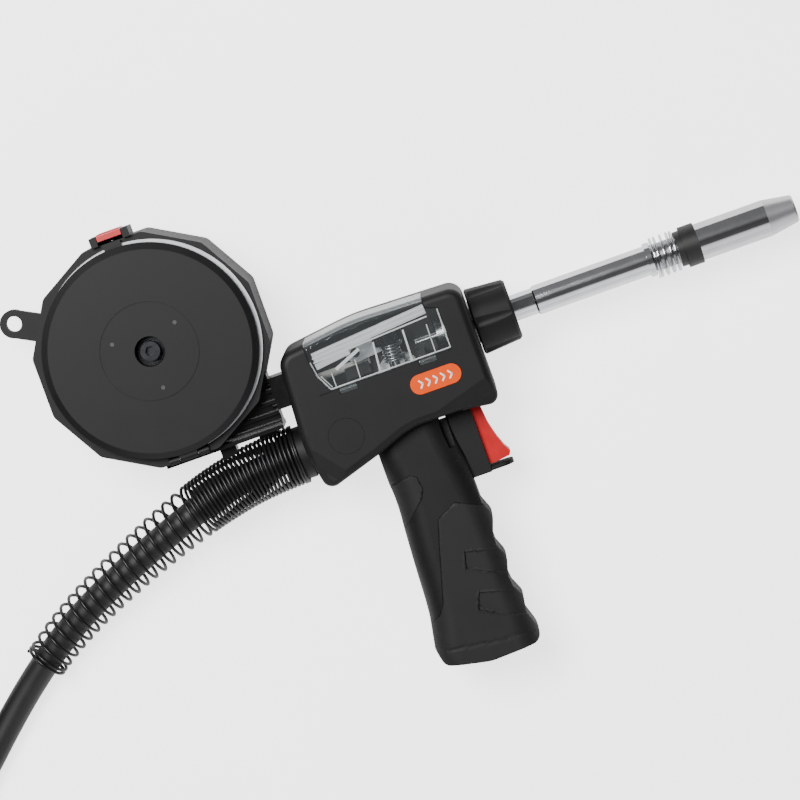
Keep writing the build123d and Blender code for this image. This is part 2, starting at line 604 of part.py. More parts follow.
def front_end():
    """Neck socket, fluted nut, neck, nozzle spring, insulating ring, nozzle, diffuser and tip."""
    flange_end = BODY_FRONT - 3
    socket_end = NUT_FRONT - NUT_LIP - 0.5
    socket = turned([(SOCKET_FLANGE_X, NECK_REAR_R), (SOCKET_FLANGE_X, SOCKET_FLANGE_R),
                     (flange_end, SOCKET_FLANGE_R), (flange_end, SOCKET_R), (socket_end, SOCKET_R),
                     (socket_end, NECK_REAR_R)])
    socket += turned([(SOCKET_REAR, GUIDE_R), (SOCKET_REAR, GUIDE_BOSS_R),
                      (GUIDE_BOSS_END, GUIDE_BOSS_R), (GUIDE_BOSS_END, GUIDE_R)])
    save("neck_socket", socket)
    grip_nut = turned([(NUT_REAR, SOCKET_R + RUN_FIT), (NUT_REAR, NUT_R - 1), (NUT_REAR + 1, NUT_R),
                       (NUT_FRONT - 1.5, NUT_R - 1.6), (NUT_FRONT, NUT_R - 3),
                       (NUT_FRONT, NECK_REAR_R + FACE_GAP),
                       (NUT_FRONT - NUT_LIP, NECK_REAR_R + FACE_GAP),
                       (NUT_FRONT - NUT_LIP, SOCKET_R + RUN_FIT)])
    for step in range(FLUTES):
        flute = rod_x(NUT_REAR + 1.5, NUT_FRONT + 1, FLUTE_OUT, 0, FLUTE_R)
        grip_nut -= Pos(0, 0, MID) * (Rot((step + 0.5) * 360 / FLUTES, 0, 0) * flute)
    save("front_nut", grip_nut)
    neck = turned([(GUIDE_BOSS_END, NECK_BORE_R), (GUIDE_BOSS_END, NECK_REAR_R),
                   (NECK_STEP - 1, NECK_REAR_R), (NECK_STEP, NECK_R), (NECK_END - 3.5, NECK_R),
                   (NECK_END - 3.5, COLLAR_R), (NECK_END - 0.5, COLLAR_R), (NECK_END, COLLAR_R - 0.5),
                   (NECK_END, DIFFUSER_R), (NECK_STEP, DIFFUSER_R), (NECK_STEP - 4, NECK_BORE_R)])
    slot = extrude(SlotOverall(*NECK_SLOT), amount=3)
    neck -= Pos(NECK_STEP - SLOT_BACK, 2.0, MID + NECK_REAR_R - 0.9) * slot
    save("neck_tube", neck)
    save("nozzle_spring", rod_x(NECK_END, SPRING_SEAT, 0, MID, NOZZLE_SPRING_R,
                                NOZZLE_SPRING_R - NOZZLE_WIRE))
    diffuser_start = NECK_END - DIFFUSER_IN
    diffuser_end = NOZZLE_START + DIFFUSER_OUT
    tip_start = diffuser_end - TIP_SET
    tip_end = BARREL_END - TIP_BACK
    diffuser = turned([(diffuser_start, 2), (diffuser_start, DIFFUSER_R), (NECK_END, DIFFUSER_R),
                       (NECK_END, DIFFUSER_BODY_R), (RING_START, DIFFUSER_BODY_R),
                       (RING_START, DIFFUSER_NOSE_R), (diffuser_end, DIFFUSER_NOSE_R),
                       (diffuser_end, TIP_THREAD_R), (tip_start, TIP_THREAD_R), (tip_start, 2)])
    for step in range(DIFFUSER_HOLES):
        hole = rod_z(diffuser_end - 6, 0, 0, 12, 1.0)
        diffuser -= Pos(0, 0, MID) * (Rot(step * 360 / DIFFUSER_HOLES, 0, 0) * hole)
    save("gas_diffuser", diffuser)
    tip = turned([(tip_start, TIP_BORE_R), (tip_start, TIP_THREAD_R), (diffuser_end, TIP_THREAD_R),
                  (diffuser_end, TIP_R), (tip_end - TIP_NOSE, TIP_R), (tip_end, TIP_NOSE_R),
                  (tip_end, TIP_BORE_R)])
    save("contact_tip", tip)
    ring_fit = DIFFUSER_BODY_R + RUN_FIT
    ring = turned([(SPRING_SEAT, ring_fit), (SPRING_SEAT, RING_NECK_R), (RING_START, RING_NECK_R),
                   (RING_START, RING_R), (NOZZLE_START, RING_R), (NOZZLE_START, RING_BORE_R),
                   (RING_START + 3, RING_BORE_R), (RING_START + 3, ring_fit)])
    save("nozzle_ring", ring)
    tip_wall = NOZZLE_TIP_R - 1.2
    nozzle = turned([(NOZZLE_START, NOZZLE_R - NOZZLE_WALL), (NOZZLE_START, NOZZLE_R),
                     (BARREL_END - TAPER_LENGTH, NOZZLE_R), (BARREL_END - 1, NOZZLE_TIP_R),
                     (BARREL_END, NOZZLE_TIP_R - 0.6), (BARREL_END, tip_wall),
                     (BARREL_END - TAPER_LENGTH, NOZZLE_R - NOZZLE_WALL)])
    save("nozzle", nozzle)


# ---- canister ----

def twelve_sided(inradius, z0, z1, corner):
    face = RegularPolygon(inradius, CAN_SIDES, major_radius=False, rotation=180 / CAN_SIDES)
    face = fillet(face.vertices(), corner)
    return Pos(CAN_X, CAN_Y, z0) * extrude(face, amount=z1 - z0)


def hinge_ears(x0, x1, z_top):
    y = CAN_Y - HINGE_OUT
    ear = rod_x(CAN_X + x0, CAN_X + x1, y, HINGE_Z, HINGE_R)
    ear += box(CAN_X + x0, CAN_X + x1, y, y + 4, HINGE_Z - 0.6, z_top)
    return ear


def canister():
    """Back shell, lid, seal, hinge pin, latch and hanging eye."""
    hinge_y = CAN_Y - HINGE_OUT
    shell = twelve_sided(CAN_FLAT, 0, SHELL_TOP, CAN_CORNER)
    shell = fillet(shell.faces().sort_by(Axis.Z)[0].edges(), CAN_EDGE)
    shell -= twelve_sided(CAN_FLAT - CAN_WALL, CAN_WALL, SHELL_TOP - RIM_HIGH, 4)
    shell -= rod_z(CAN_X, CAN_Y, SHELL_TOP - RIM_HIGH - 1, SHELL_TOP + 1, MOUTH_R)
    for x0, x1 in ((-HINGE_HALF, -HINGE_INNER), (HINGE_INNER, HINGE_HALF)):
        shell += rod_x(CAN_X + x0, CAN_X + x1, hinge_y, HINGE_Z, HINGE_R)
    shell -= box(CAN_X - HINGE_INNER, CAN_X + HINGE_INNER, hinge_y - 4, hinge_y + CAN_WALL,
                 HINGE_Z - HINGE_R - FACE_GAP, SHELL_TOP + 1)
    shell -= rod_x(CAN_X - 12, CAN_X + 12, hinge_y, HINGE_Z, HINGE_PIN_R)
    shell -= rod_x(CAN_X, -60, 0, MID, GUIDE_R)
    eye = box(EYE_X, EYE_X + EYE_REACH, -EYE_NECK, EYE_NECK, 0, EYE_T)
    eye += rod_z(EYE_X, 0, 0, EYE_T, EYE_R)
    eye -= rod_z(EYE_X, 0, -1, EYE_T + 1, EYE_HOLE_R)
    eye = Pos(EYE_X, EYE_Y, MID - EYE_T / 2) * (Rot(0, 0, EYE_TURN) * (Pos(-EYE_X, 0, 0) * eye))
    eye -= twelve_sided(CAN_FLAT, 0, SHELL_TOP, CAN_CORNER)
    save("canister_shell", shell)
    save("hanging_eye", biggest(eye))
    under = CAN_DEPTH - LID_SKIN
    rim_r = LID_FLAT_R - LID_RIM
    spigot_r = MOUTH_R - 0.5
    spigot_low = LID_LOW - LID_SPIGOT
    lid_profile = [(LID_HOLE_R, LID_LOW - 3), (LID_HOLE_R + LID_RIM, LID_LOW - 3),
                   (LID_HOLE_R + LID_RIM, under), (rim_r, under), (rim_r, spigot_low),
                   (spigot_r, spigot_low), (spigot_r, LID_LOW), (LID_R, LID_LOW),
                   (LID_R, CAN_DEPTH - 2.2), (LID_FLAT_R, CAN_DEPTH), (LID_HOLE_R, CAN_DEPTH)]
    lid_face = make_face(Polyline([(r, 0, z) for r, z in lid_profile], close=True))
    lid = Pos(CAN_X, CAN_Y, 0) * revolve(lid_face, Axis.Z, 360)
    lid -= rod_z(CAN_X, CAN_Y, CAN_DEPTH - 0.4, CAN_DEPTH + 1, LID_GROOVE_R, LID_GROOVE_R - 0.6)
    lid += hinge_ears(-LID_KNUCKLE, LID_KNUCKLE, LID_LOW + 2.5)
    lid -= rod_x(CAN_X - 12, CAN_X + 12, hinge_y, HINGE_Z, HINGE_PIN_R + RUN_FIT)
    tongue_end = CAN_Y + CAN_FLAT - 0.2
    lid += box(CAN_X - TONGUE_HALF, CAN_X + TONGUE_HALF, CAN_Y + LID_R - 3, tongue_end, LID_LOW,
               LID_LOW + TONGUE_T)
    save("canister_lid", lid)
    seal = rod_z(CAN_X + SEAL_SHIFT[0], CAN_Y + SEAL_SHIFT[1], LID_LOW - SEAL_T, LID_LOW, SEAL_R)
    seal -= rod_z(CAN_X, CAN_Y, LID_LOW - SEAL_T - 1, LID_LOW + 1, MOUTH_R + 0.8)
    seal -= box(CAN_X - 12, CAN_X + 12, CAN_Y - 70, CAN_Y - 50, SHELL_TOP - 2, LID_LOW + 1)
    save("lid_seal", seal)
    save("lid_hinge_pin", rod_x(CAN_X - HINGE_HALF, CAN_X + HINGE_HALF, hinge_y, HINGE_Z,
                                HINGE_PIN_R))
    deck = CAN_Y + CAN_FLAT
    ear_out = LATCH_WIDTH / 2
    ear_in = BUTTON_WIDTH / 2 + FACE_GAP
    floor_top = LATCH_LOW + LATCH_FLOOR
    latch = box(CAN_X - ear_out, CAN_X + ear_out, deck, BUTTON_TOP - 0.8, LATCH_LOW, LATCH_HIGH)
    latch -= box(CAN_X - ear_in, CAN_X + ear_in, deck - 1, BUTTON_TOP + 1, floor_top, LATCH_HIGH + 1)
    save("latch_housing", latch)
    half = BUTTON_WIDTH / 2
    button = box(CAN_X - half, CAN_X + half, BUTTON_LOW, BUTTON_TOP, floor_top + FACE_GAP, LATCH_HIGH)
    button = fillet(button.faces().sort_by(Axis.Y)[-1].edges(), 1.0)
    save("latch_button", button)
    save("latch_spring", rod_y(CAN_X, LATCH_SPRING_Z, deck, BUTTON_LOW, LATCH_SPRING_R,
                               LATCH_SPRING_BORE_R))


def spool():
    """Spindle, brake and the D100 spool with its wire."""
    spindle = rod_z(CAN_X, CAN_Y, CAN_WALL, SPOOL_LOW - FACE_GAP, SPINDLE_FOOT_R)
    spindle += rod_z(CAN_X, CAN_Y, CAN_WALL, SPOOL_HIGH, SPOOL_BORE_R - RUN_FIT)
    spindle -= rod_z(CAN_X, CAN_Y, SPOOL_HIGH - 20, SPOOL_HIGH + 1, SPINDLE_SCREW_R)
    save("spindle", spindle)
    reel = rod_z(CAN_X, CAN_Y, SPOOL_LOW, SPOOL_HIGH, SPOOL_CORE_R, SPOOL_BORE_R)
    for low in (SPOOL_LOW, SPOOL_HIGH - SPOOL_FLANGE):
        reel += rod_z(CAN_X, CAN_Y, low, low + SPOOL_FLANGE, SPOOL_R, SPOOL_BORE_R)
    for step in range(4):
        turn = math.radians(45 + 90 * step)
        reel -= rod_z(CAN_X + SPOOL_HOLE_OUT * math.cos(turn), CAN_Y + SPOOL_HOLE_OUT * math.sin(turn),
                      SPOOL_LOW - 1, SPOOL_HIGH + 1, SPOOL_HOLE_R)
    save("wire_spool", reel)
    save("wire_winding", rod_z(CAN_X, CAN_Y, SPOOL_LOW + SPOOL_FLANGE, SPOOL_HIGH - SPOOL_FLANGE,
                               WIRE_R, SPOOL_CORE_R))
    washer_low = SPOOL_HIGH + RUN_FIT
    washer_high = washer_low + BRAKE_WASHER_T
    save("brake_washer", rod_z(CAN_X, CAN_Y, washer_low, washer_high, BRAKE_WASHER_R,
                               SPINDLE_SCREW_R + 2 * RUN_FIT))
    save("brake_spring", rod_z(CAN_X, CAN_Y, washer_high, SCREW_HEAD_LOW, BRAKE_SPRING_R,
                               BRAKE_SPRING_BORE_R))
    screw = rod_z(CAN_X, CAN_Y, SPOOL_HIGH - 18, SCREW_HEAD_LOW, SPINDLE_SCREW_R)
    screw += rod_z(CAN_X, CAN_Y, SCREW_HEAD_LOW, SCREW_HEAD_LOW + SCREW_HEAD_TALL, SCREW_HEAD_R)
    hexagon = extrude(RegularPolygon(HEX_HALF, 6, major_radius=False), amount=4)
    screw -= Pos(CAN_X, CAN_Y, SCREW_HEAD_LOW + 3) * hexagon
    save("spindle_screw", screw)


ARM_SCREWS = [(6.0, 5.5), (6.0, -5.5), (-6.0, 5.5), (-6.0, -5.5)]
ARM_SCREW_R = 1.9
ARM_SCREW_REAR = -77.0
ARM_SCREW_SEAT = -62.0
ARM_SCREW_END = -60.0
ARM_SCREW_HEAD_R = ARM_SCREW_R + 1.2
ARM_REAR = -112.0
ARM_FRONT = -74.5
ARM_HIGH = 12.5
ARM_HALF = 10.0
ARM_FLANGE_T = 2.2
ARM_GROOVES = [(3.6, 7.6), (-2.6, 1.6), (-8.6, -4.6), (-14.2, -10.6)]   # low and high edge
ARM_GROOVE_DEPTH = 3.0
ARM_LEGS = [(-113.0, -104.0, -27.0), (-90.0, -79.0, -22.0)]   # rear, front, lowest point
ARM_LEG_HALF = 7.0


def canister_arm():
    """Ribbed arm between canister and body, with the leg that steadies the cable's spring."""
    low = CAN_Y - CAN_FLAT
    flange_low = low - ARM_FLANGE_T
    arm = box(ARM_REAR, ARM_FRONT, flange_low, ARM_HIGH, MID - ARM_HALF, MID + ARM_HALF)
    for groove_low, groove_high in ARM_GROOVES:
        arm -= box(ARM_REAR, ARM_FRONT + 1, groove_low, groove_high, MID + ARM_HALF - ARM_GROOVE_DEPTH,
                   MID + ARM_HALF + 2)
    arm += box(-143, ARM_FRONT, flange_low, low, MID - 16, MID + 17)
    arm += box(ARM_FRONT, -66.2, -8.7, 9.5, MID - ARM_HALF, MID + ARM_HALF)
    for rear, front, foot in ARM_LEGS:
        arm += box(rear, front, foot, low, MID - ARM_LEG_HALF, MID + ARM_LEG_HALF)
    arm -= twelve_sided(CAN_FLAT, 0, SHELL_TOP, CAN_CORNER)
    arm -= Pos(0, 0, MID) * extrude(body_outline(), amount=BODY_HALF, both=True)
    arm -= spring_cone(PART_GAP)
    arm -= rod_x(-120, -60, 0, MID, GUIDE_R)
    screws = []
    for y, z in ARM_SCREWS:
        arm -= rod_x(ARM_SCREW_REAR - 0.5, ARM_SCREW_END, y, MID + z, ARM_SCREW_R + RUN_FIT)
        screws.append(rod_x(ARM_SCREW_REAR, ARM_SCREW_SEAT, y, MID + z, ARM_SCREW_R)
                      + rod_x(ARM_SCREW_SEAT, ARM_SCREW_END, y, MID + z, ARM_SCREW_HEAD_R))
    save("canister_arm", biggest(arm))
    save("arm_screws", screws[0] + screws[1:])


# ---- wire feed ----

def feed():
    """Feed plate, motor, worm gear, rolls, pressure arm and tension screw."""
    plate_top = PLATE_LOW + PLATE_T
    block_top = MID + BLOCK_RISE
    plate = box(*PLATE, PLATE_LOW, plate_top)
    plate = fillet(plate.edges().filter_by(Axis.Z), PLATE_CORNER)
    plate -= rod_z(ROLL_X, DRIVE_Y, PLATE_LOW - 1, plate_top + 1, SHAFT_R + RUN_FIT)
    plate += rod_z(PIVOT_X, PIVOT_Y, plate_top, MID + ARM_RISE + ARM_T + 1, PIVOT_R)
    for rear, front in GUIDE_BLOCKS:
        plate += box(rear, front, BLOCK_BASE, 0, plate_top, block_top)
    plate += box(8.5, POST_FRONT, STUD_LOW, -3.2, plate_top, STUD_Z + 4)
    plate += box(ROLL_X - 4, POST_FRONT, STUD_LOW, -8.5, STUD_Z - 4, STUD_Z + 4)
    for x, y in PLATE_POSTS:
        plate += rod_z(x, y, MID - BODY_HALF + WALL, PLATE_LOW, POST_R)
    plate -= rod_x(-70, WORM_REAR - FACE_GAP, WORM_Y, WORM_Z, MOTOR_R + PART_GAP)
    plate -= rod_x(-60, 60, 0, MID, GUIDE_R)
    plate -= rod_y(ROLL_X, STUD_Z, STUD_LOW - 2, -6, STUD_R)
    save("feed_plate", biggest(plate))
    save("inlet_guide", rod_x(-80, GUIDE_MOUTHS[0], 0, MID, GUIDE_R, GUIDE_BORE_R))
    save("outlet_guide", rod_x(GUIDE_MOUTHS[1], 33, 0, MID, GUIDE_R, GUIDE_BORE_R))
    save("drive_shaft", rod_z(ROLL_X, DRIVE_Y, WHEEL_LOW - SHAFT_TAIL, MID + ROLL_HALF + 2, SHAFT_R))
    save("drive_roll", rod_z(ROLL_X, DRIVE_Y, MID - ROLL_HALF, MID + ROLL_HALF, DRIVE_ROLL_R,
                             SHAFT_R))
    wheel = rod_z(ROLL_X, DRIVE_Y, WHEEL_LOW, WHEEL_LOW + WHEEL_WIDTH, WHEEL_R, SHAFT_R)
    notch_r = 2 * math.pi * WHEEL_R / WHEEL_TEETH / 4
    for tooth in range(WHEEL_TEETH):
        turn = 2 * math.pi * tooth / WHEEL_TEETH
        wheel -= rod_z(ROLL_X + WHEEL_R * math.cos(turn), DRIVE_Y + WHEEL_R * math.sin(turn),
                       WHEEL_LOW - 1, WHEEL_LOW + WHEEL_WIDTH + 1, notch_r)
    save("worm_wheel", wheel)
    worm = rod_x(WORM_REAR, WORM_FRONT, WORM_Y, WORM_Z, WORM_R - THREAD_DEPTH)
    for ring in range(-WORM_THREADS, WORM_THREADS + 1):
        x = ROLL_X + WORM_PITCH * ring
        worm += rod_x(x - THREAD_HALF, x + THREAD_HALF, WORM_Y, WORM_Z, WORM_R)
    save("worm", worm)
    motor = rod_x(MOTOR_REAR, WORM_REAR - FACE_GAP, WORM_Y, WORM_Z, MOTOR_R)
    motor = chamfer(motor.edges().filter_by(GeomType.CIRCLE), 1.0)
    save("drive_motor", motor)
    arm_low = MID + ARM_RISE
    arm_high = arm_low + ARM_T
    length = math.hypot(ROLL_X - PIVOT_X, PRESS_Y - PIVOT_Y)
    tilt = math.degrees(math.atan2(PRESS_Y - PIVOT_Y, ROLL_X - PIVOT_X))
    bar = Rot(0, 0, tilt) * extrude(SlotOverall(length + ARM_WIDTH, ARM_WIDTH), amount=ARM_T)
    arm = Pos((ROLL_X + PIVOT_X) / 2, (PRESS_Y + PIVOT_Y) / 2, arm_low) * bar
    arm += box(ROLL_X - LUG_HALF, ROLL_X + LUG_HALF, LUG_TOP - LUG_T, PRESS_Y, arm_low, arm_high)
    arm += box(ROLL_X - LUG_HALF, ROLL_X + LUG_HALF, LUG_TOP - LUG_T, LUG_TOP, arm_low,
               STUD_Z + LUG_HALF)
    arm -= box(ROLL_X - NOTCH_HALF, ROLL_X + LUG_HALF + 1, LUG_TOP - LUG_T - 1, LUG_TOP + 1,
               STUD_Z - STUD_R - 0.4, STUD_Z + LUG_HALF + 1)
    arm -= rod_z(PIVOT_X, PIVOT_Y, arm_low - 1, arm_high + 1.5, PIVOT_R + RUN_FIT)
    arm += rod_z(ROLL_X, PRESS_Y, MID - 4.5, arm_low, ROLL_PIN_R)
    save("pressure_arm", arm)
    save("pressure_roll", rod_z(ROLL_X, PRESS_Y, MID - PRESS_ROLL_HALF, MID + PRESS_ROLL_HALF,
                                PRESS_ROLL_R, ROLL_PIN_R + RUN_FIT))
    save("tension_screw", rod_y(ROLL_X, STUD_Z, STUD_LOW, KNOB_HIGH + 1, STUD_R))
    knob = rod_y(ROLL_X, STUD_Z, KNOB_LOW, KNOB_HIGH, NUT_KNOB_R, STUD_R + RUN_FIT)
    for groove in range(KNURLS):
        turn = 2 * math.pi * groove / KNURLS
        knob -= rod_y(ROLL_X + NUT_KNOB_R * math.cos(turn), STUD_Z + NUT_KNOB_R * math.sin(turn),
                      KNOB_LOW - 1, KNOB_HIGH + 1, KNURL_R)
    save("tension_nut", knob)
    save("tension_spring", rod_y(ROLL_X, STUD_Z, LUG_TOP, KNOB_LOW, TENSION_R, TENSION_BORE_R))


# ---- cable ----

def corner_radii(points):
    """0.45 of the shorter run at each corner, over the tangent of half the turn."""
    radii = []
    for before, here, after in zip(points, points[1:], points[2:]):
        back = Vector(*here) - Vector(*before)
        ahead = Vector(*after) - Vector(*here)
        turn = back.get_angle(ahead)
        radii.append(0.45 * min(back.length, ahead.length) / math.tan(math.radians(turn / 2)))
    return radii


def cable_run(name, points):
    radii = corner_radii(points)
    path = FilletPolyline(points, radius=radii)
    start = Plane(origin=path @ 0, z_dir=path % 0)
    tube = sweep(start * Circle(CABLE_R), path=path)
    expected = math.pi * CABLE_R ** 2 * path.length
    print(f"{name}: radii {[round(r) for r in radii]}, length {path.length:.1f} mm, "
          f"volume {tube.volume:.0f} of {expected:.0f} mm3")
    save(name, tube)
    return path.length


def spring_cone(extra, inner=False):
    """The strain relief spring's envelope: ruled frustums between rings square to the cable."""
    points = [(COLLAR_X - 2, CABLE_Y, MID)] + ROUTE[1:6] + [SPRING_END]
    radii = [SPRING_RADII[0]] + SPRING_RADII
    rings = []
    for index, point in enumerate(points):
        before = points[max(index - 1, 0)]
        after = points[min(index + 1, len(points) - 1)]
        heading = Vector(*after) - Vector(*before)
        radius = radii[index] + extra
        if inner:
            radius = max(radii[index] - SPRING_WIRE, CABLE_R + 1.2)
        rings.append(Plane(origin=point, z_dir=heading) * Circle(radius))
    return loft(rings, ruled=True)


def cable():
    """Collar, strain relief spring, cable, stored coil, tail and the central connector."""
    collar = rod_x(COLLAR_X, BODY_REAR, CABLE_Y, MID, GLAND_R)
    collar += rod_x(COLLAR_X - COLLAR_SPIGOT, COLLAR_X, CABLE_Y, MID, COLLAR_SPIGOT_R)
    collar += rod_x(BODY_REAR, MOTOR_REAR - FACE_GAP, CABLE_Y, MID, GLAND_NECK_R)
    collar -= Pos(0, 0, MID) * extrude(body_outline(), amount=BODY_HALF, both=True) \
        - rod_x(-75, -50, CABLE_Y, MID, GLAND_NECK_R)
    collar -= rod_x(-100, -50, CABLE_Y, MID, CABLE_R)
    save("cable_collar", biggest(collar))
    spring = spring_cone(0) - spring_cone(0, inner=True)
    spring -= rod_x(COLLAR_X - COLLAR_SPIGOT - 1, -60, CABLE_Y, MID, COLLAR_SPIGOT_R)
    spring -= box(-70, -50, -70, 0, 0, CAN_DEPTH)
    save("cable_spring", biggest(spring))
    total = cable_run("cable_tube", ROUTE)
    total += cable_run("cable_tail", TAIL)
    turns = sum(2 * math.pi * r for r in COIL_TURNS[:-1]) + 2 * math.pi * COIL_TURNS[-1] * COIL_LAST
    print(f"cable length {total + turns:.0f} mm")
    coil = rod_z(COIL_X, COIL_Y, 0, COIL_HEIGHT, max(COIL_TURNS) + CABLE_R,
                 min(COIL_TURNS) - CABLE_R)
    save("cable_coil", coil)
    x, y = TAIL[-1][0], TAIL[-1][1]
    plug = [rod_y(x, PLUG_Z, y + start, y + end, radius) for start, end, radius in PLUG_STEPS]
    save("connector_body", plug[0] + plug[1:])
    nut_low = y + PLUG_STEPS[-1][0] + 1
    nut_high = nut_low + PLUG_NUT_LENGTH
    nut = rod_y(x, PLUG_Z, nut_low, nut_high, PLUG_NUT_R, PLUG_STEPS[-1][2] + RUN_FIT)
    for groove in range(GRIP_GROOVES):
        turn = 2 * math.pi * groove / GRIP_GROOVES
        nut -= rod_y(x + PLUG_NUT_R * math.cos(turn), PLUG_Z + PLUG_NUT_R * math.sin(turn),
                     nut_low - 1, nut_high + 1, GROOVE_R)
    save("connector_nut", nut)
    face = y + PLUG_END
    pins = [rod_y(x, PLUG_Z, face, face + PLUG_PIN_LENGTH, PLUG_PIN_R, PLUG_PIN_BORE_R)]
    for side in (-CONTROL_PIN_X, CONTROL_PIN_X):
        pins.append(rod_y(x + side, PLUG_Z + CONTROL_PIN_Z, face, face + CONTROL_PIN_LENGTH,
                          CONTROL_PIN_R))
    save("connector_pins", pins[0] + pins[1:])


def main():
    os.makedirs("parts", exist_ok=True)
    housing()
    housing_trim()
    trigger()
    front_end()
    canister()
    spool()
    canister_arm()
    feed()
    cable()


main()
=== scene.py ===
import math

import bmesh
import bpy
import numpy as np
from mathutils import Matrix, Vector


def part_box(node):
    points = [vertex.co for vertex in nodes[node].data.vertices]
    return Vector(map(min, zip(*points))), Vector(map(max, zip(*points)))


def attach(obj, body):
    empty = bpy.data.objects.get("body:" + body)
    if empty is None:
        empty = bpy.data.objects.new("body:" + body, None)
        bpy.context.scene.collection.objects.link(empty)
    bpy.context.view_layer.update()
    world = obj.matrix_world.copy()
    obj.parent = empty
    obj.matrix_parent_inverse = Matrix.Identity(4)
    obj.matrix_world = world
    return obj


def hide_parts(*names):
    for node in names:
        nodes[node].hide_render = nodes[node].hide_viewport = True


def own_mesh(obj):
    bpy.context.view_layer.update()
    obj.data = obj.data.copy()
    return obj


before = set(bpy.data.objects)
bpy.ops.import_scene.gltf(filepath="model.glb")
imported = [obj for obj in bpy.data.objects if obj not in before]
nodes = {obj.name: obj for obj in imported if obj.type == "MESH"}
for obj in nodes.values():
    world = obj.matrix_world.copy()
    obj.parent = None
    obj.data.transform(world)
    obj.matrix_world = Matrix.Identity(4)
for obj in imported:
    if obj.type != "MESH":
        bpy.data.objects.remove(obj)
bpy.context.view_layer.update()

MM = 0.001

# The gun lies on its left side. Sizes below are millimetres from the barrel's own axis: x along the
# barrel, y to the gun's top. The nozzle's mouth fixes where that axis is.
NOZZLE_MOUTH = 231.5
barrel_low, barrel_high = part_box("nozzle")
BARREL = Vector((barrel_high.x - NOZZLE_MOUTH * MM, (barrel_low.y + barrel_high.y) / 2, 0))
MID = (barrel_low.z + barrel_high.z) / 2 / MM


def at(x, y, z):
    """A place given in millimetres from the barrel axis, in metres from the frame's origin."""
    return BARREL + Vector((x, y, z)) * MM


# ---- camera ----
# A short telephoto lens almost overhead, a little to the gun's top and front, rolled so that the
# barrel rises to the right.
EYE = at(63.3, 146.5, 1925)
AIM = at(-9.8, -27.0, MID)
ROLL = math.radians(19.58)
FIELD = 0.4448
SENSOR = 36.0

camera_data = bpy.data.cameras.new("studio_camera")
camera_data.sensor_width = SENSOR
camera_data.lens = SENSOR * (AIM - EYE).length / FIELD
camera_data.clip_start = 0.05
camera_data.clip_end = 20
camera = bpy.data.objects.new("studio_camera", camera_data)
bpy.context.scene.collection.objects.link(camera)
back = (EYE - AIM).normalized()
level = (Vector((1, 0, 0)) - back * back.x).normalized()
right = Matrix.Rotation(-ROLL, 3, back) @ level
camera.matrix_world = Matrix.Translation(EYE) @ Matrix((right, back.cross(right), back)).transposed().to_4x4()
bpy.context.scene.camera = camera

# ---- cable ----
# Smooth rubber-jacketed torch cable, 16 mm thick and about 3 m long. It leaves the gun through the
# spring, comes down to the bench, and the rest is wound up in two layers with its connector beside it.
CABLE_WIDTH = 15.8
CABLE_ROUTE = [(-64.0, -36.5, 31.0), (-92.0, -36.9, 30.6), (-124.0, -43.0, 28.0), (-156.0, -54.0, 24.5),
               (-188.0, -67.2, 20.8), (-220.0, -82.2, 17.2), (-248.0, -100.0, 12.0), (-276.0, -122.5, 8.6),
               (-305.0, -149.6, 8.1)]
COIL_CENTRE = (-410.0, -94.0)
COIL_START = -47.6
COIL_TURNS = 4.368
COIL_STEPS = 105
# how far out the cable lies, and how high, at each count of turns
COIL_RADII = [(0, 111.6), (0.8, 111.6), (1, 95.8), (1.8, 95.8), (2, 80), (2.8, 80), (3, 88), (3.8, 88),
              (4, 104)]
COIL_HEIGHTS = [(0, 8.1), (2.55, 8.1), (2.8, 24), (3, 24), (3.08, 21.8), (3.75, 21.8), (3.8, 24), (4, 24),
                (4.06, 21.8)]
CABLE_END = [(-514.6, -62.0, 18.5), (-517.0, -30.0, 17.5), (-520.0, 2.0, 20.0), (-521.5, 30.0, 23.4),
             (-521.5, 58.0, 24.6)]

cable_points = list(CABLE_ROUTE)
for step in range(COIL_STEPS + 1):
    turn = COIL_TURNS * step / COIL_STEPS
    radius = np.interp(turn, *zip(*COIL_RADII))
    height = np.interp(turn, *zip(*COIL_HEIGHTS))
    angle = math.radians(COIL_START - 360 * turn)
    cable_points.append((COIL_CENTRE[0] + radius * math.cos(angle),
                         COIL_CENTRE[1] + radius * math.sin(angle), height))
cable_points += CABLE_END


def cable_curve(name, points, width):
    """A round cable along one smooth line through the given control points."""
    curve = bpy.data.curves.new(name, "CURVE")
    curve.dimensions = "3D"
    spline = curve.splines.new("NURBS")
    spline.points.add(len(points) - 1)
    for control, point in zip(spline.points, points):
        control.co = (*at(*point), 1)
        control.radius = width / 2 * MM
    spline.order_u = 3
    spline.use_endpoint_u = True
    spline.resolution_u = 8
    curve.bevel_depth = 1.0
    curve.bevel_resolution = 6
    curve.use_fill_caps = True
    made = bpy.data.objects.new(name, curve)
    bpy.context.scene.collection.objects.link(made)
    return made


cable = cable_curve("torch_cable", cable_points, CABLE_WIDTH)
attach(cable, "gun")
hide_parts("cable_tube", "cable_coil", "cable_tail")

# ---- cable jacket ----
# Black rubber extruded over the cable's cores: nearly black and satin, with the faint roughness that
# the die leaves. Colours are sRGB hex, and a finish drifts between its two colours.
COAT_ROUGH = 0.08
DRIFT_LOW = 0.3
DRIFT_HIGH = 0.72


def paint(hex_text):
    """An sRGB hex colour as linear red, green, blue and alpha."""
    parts = [int(hex_text[i:i + 2], 16) / 255 for i in (1, 3, 5)]
    return (*[p / 12.92 if p <= 0.04045 else ((p + 0.055) / 1.055) ** 2.4 for p in parts], 1.0)


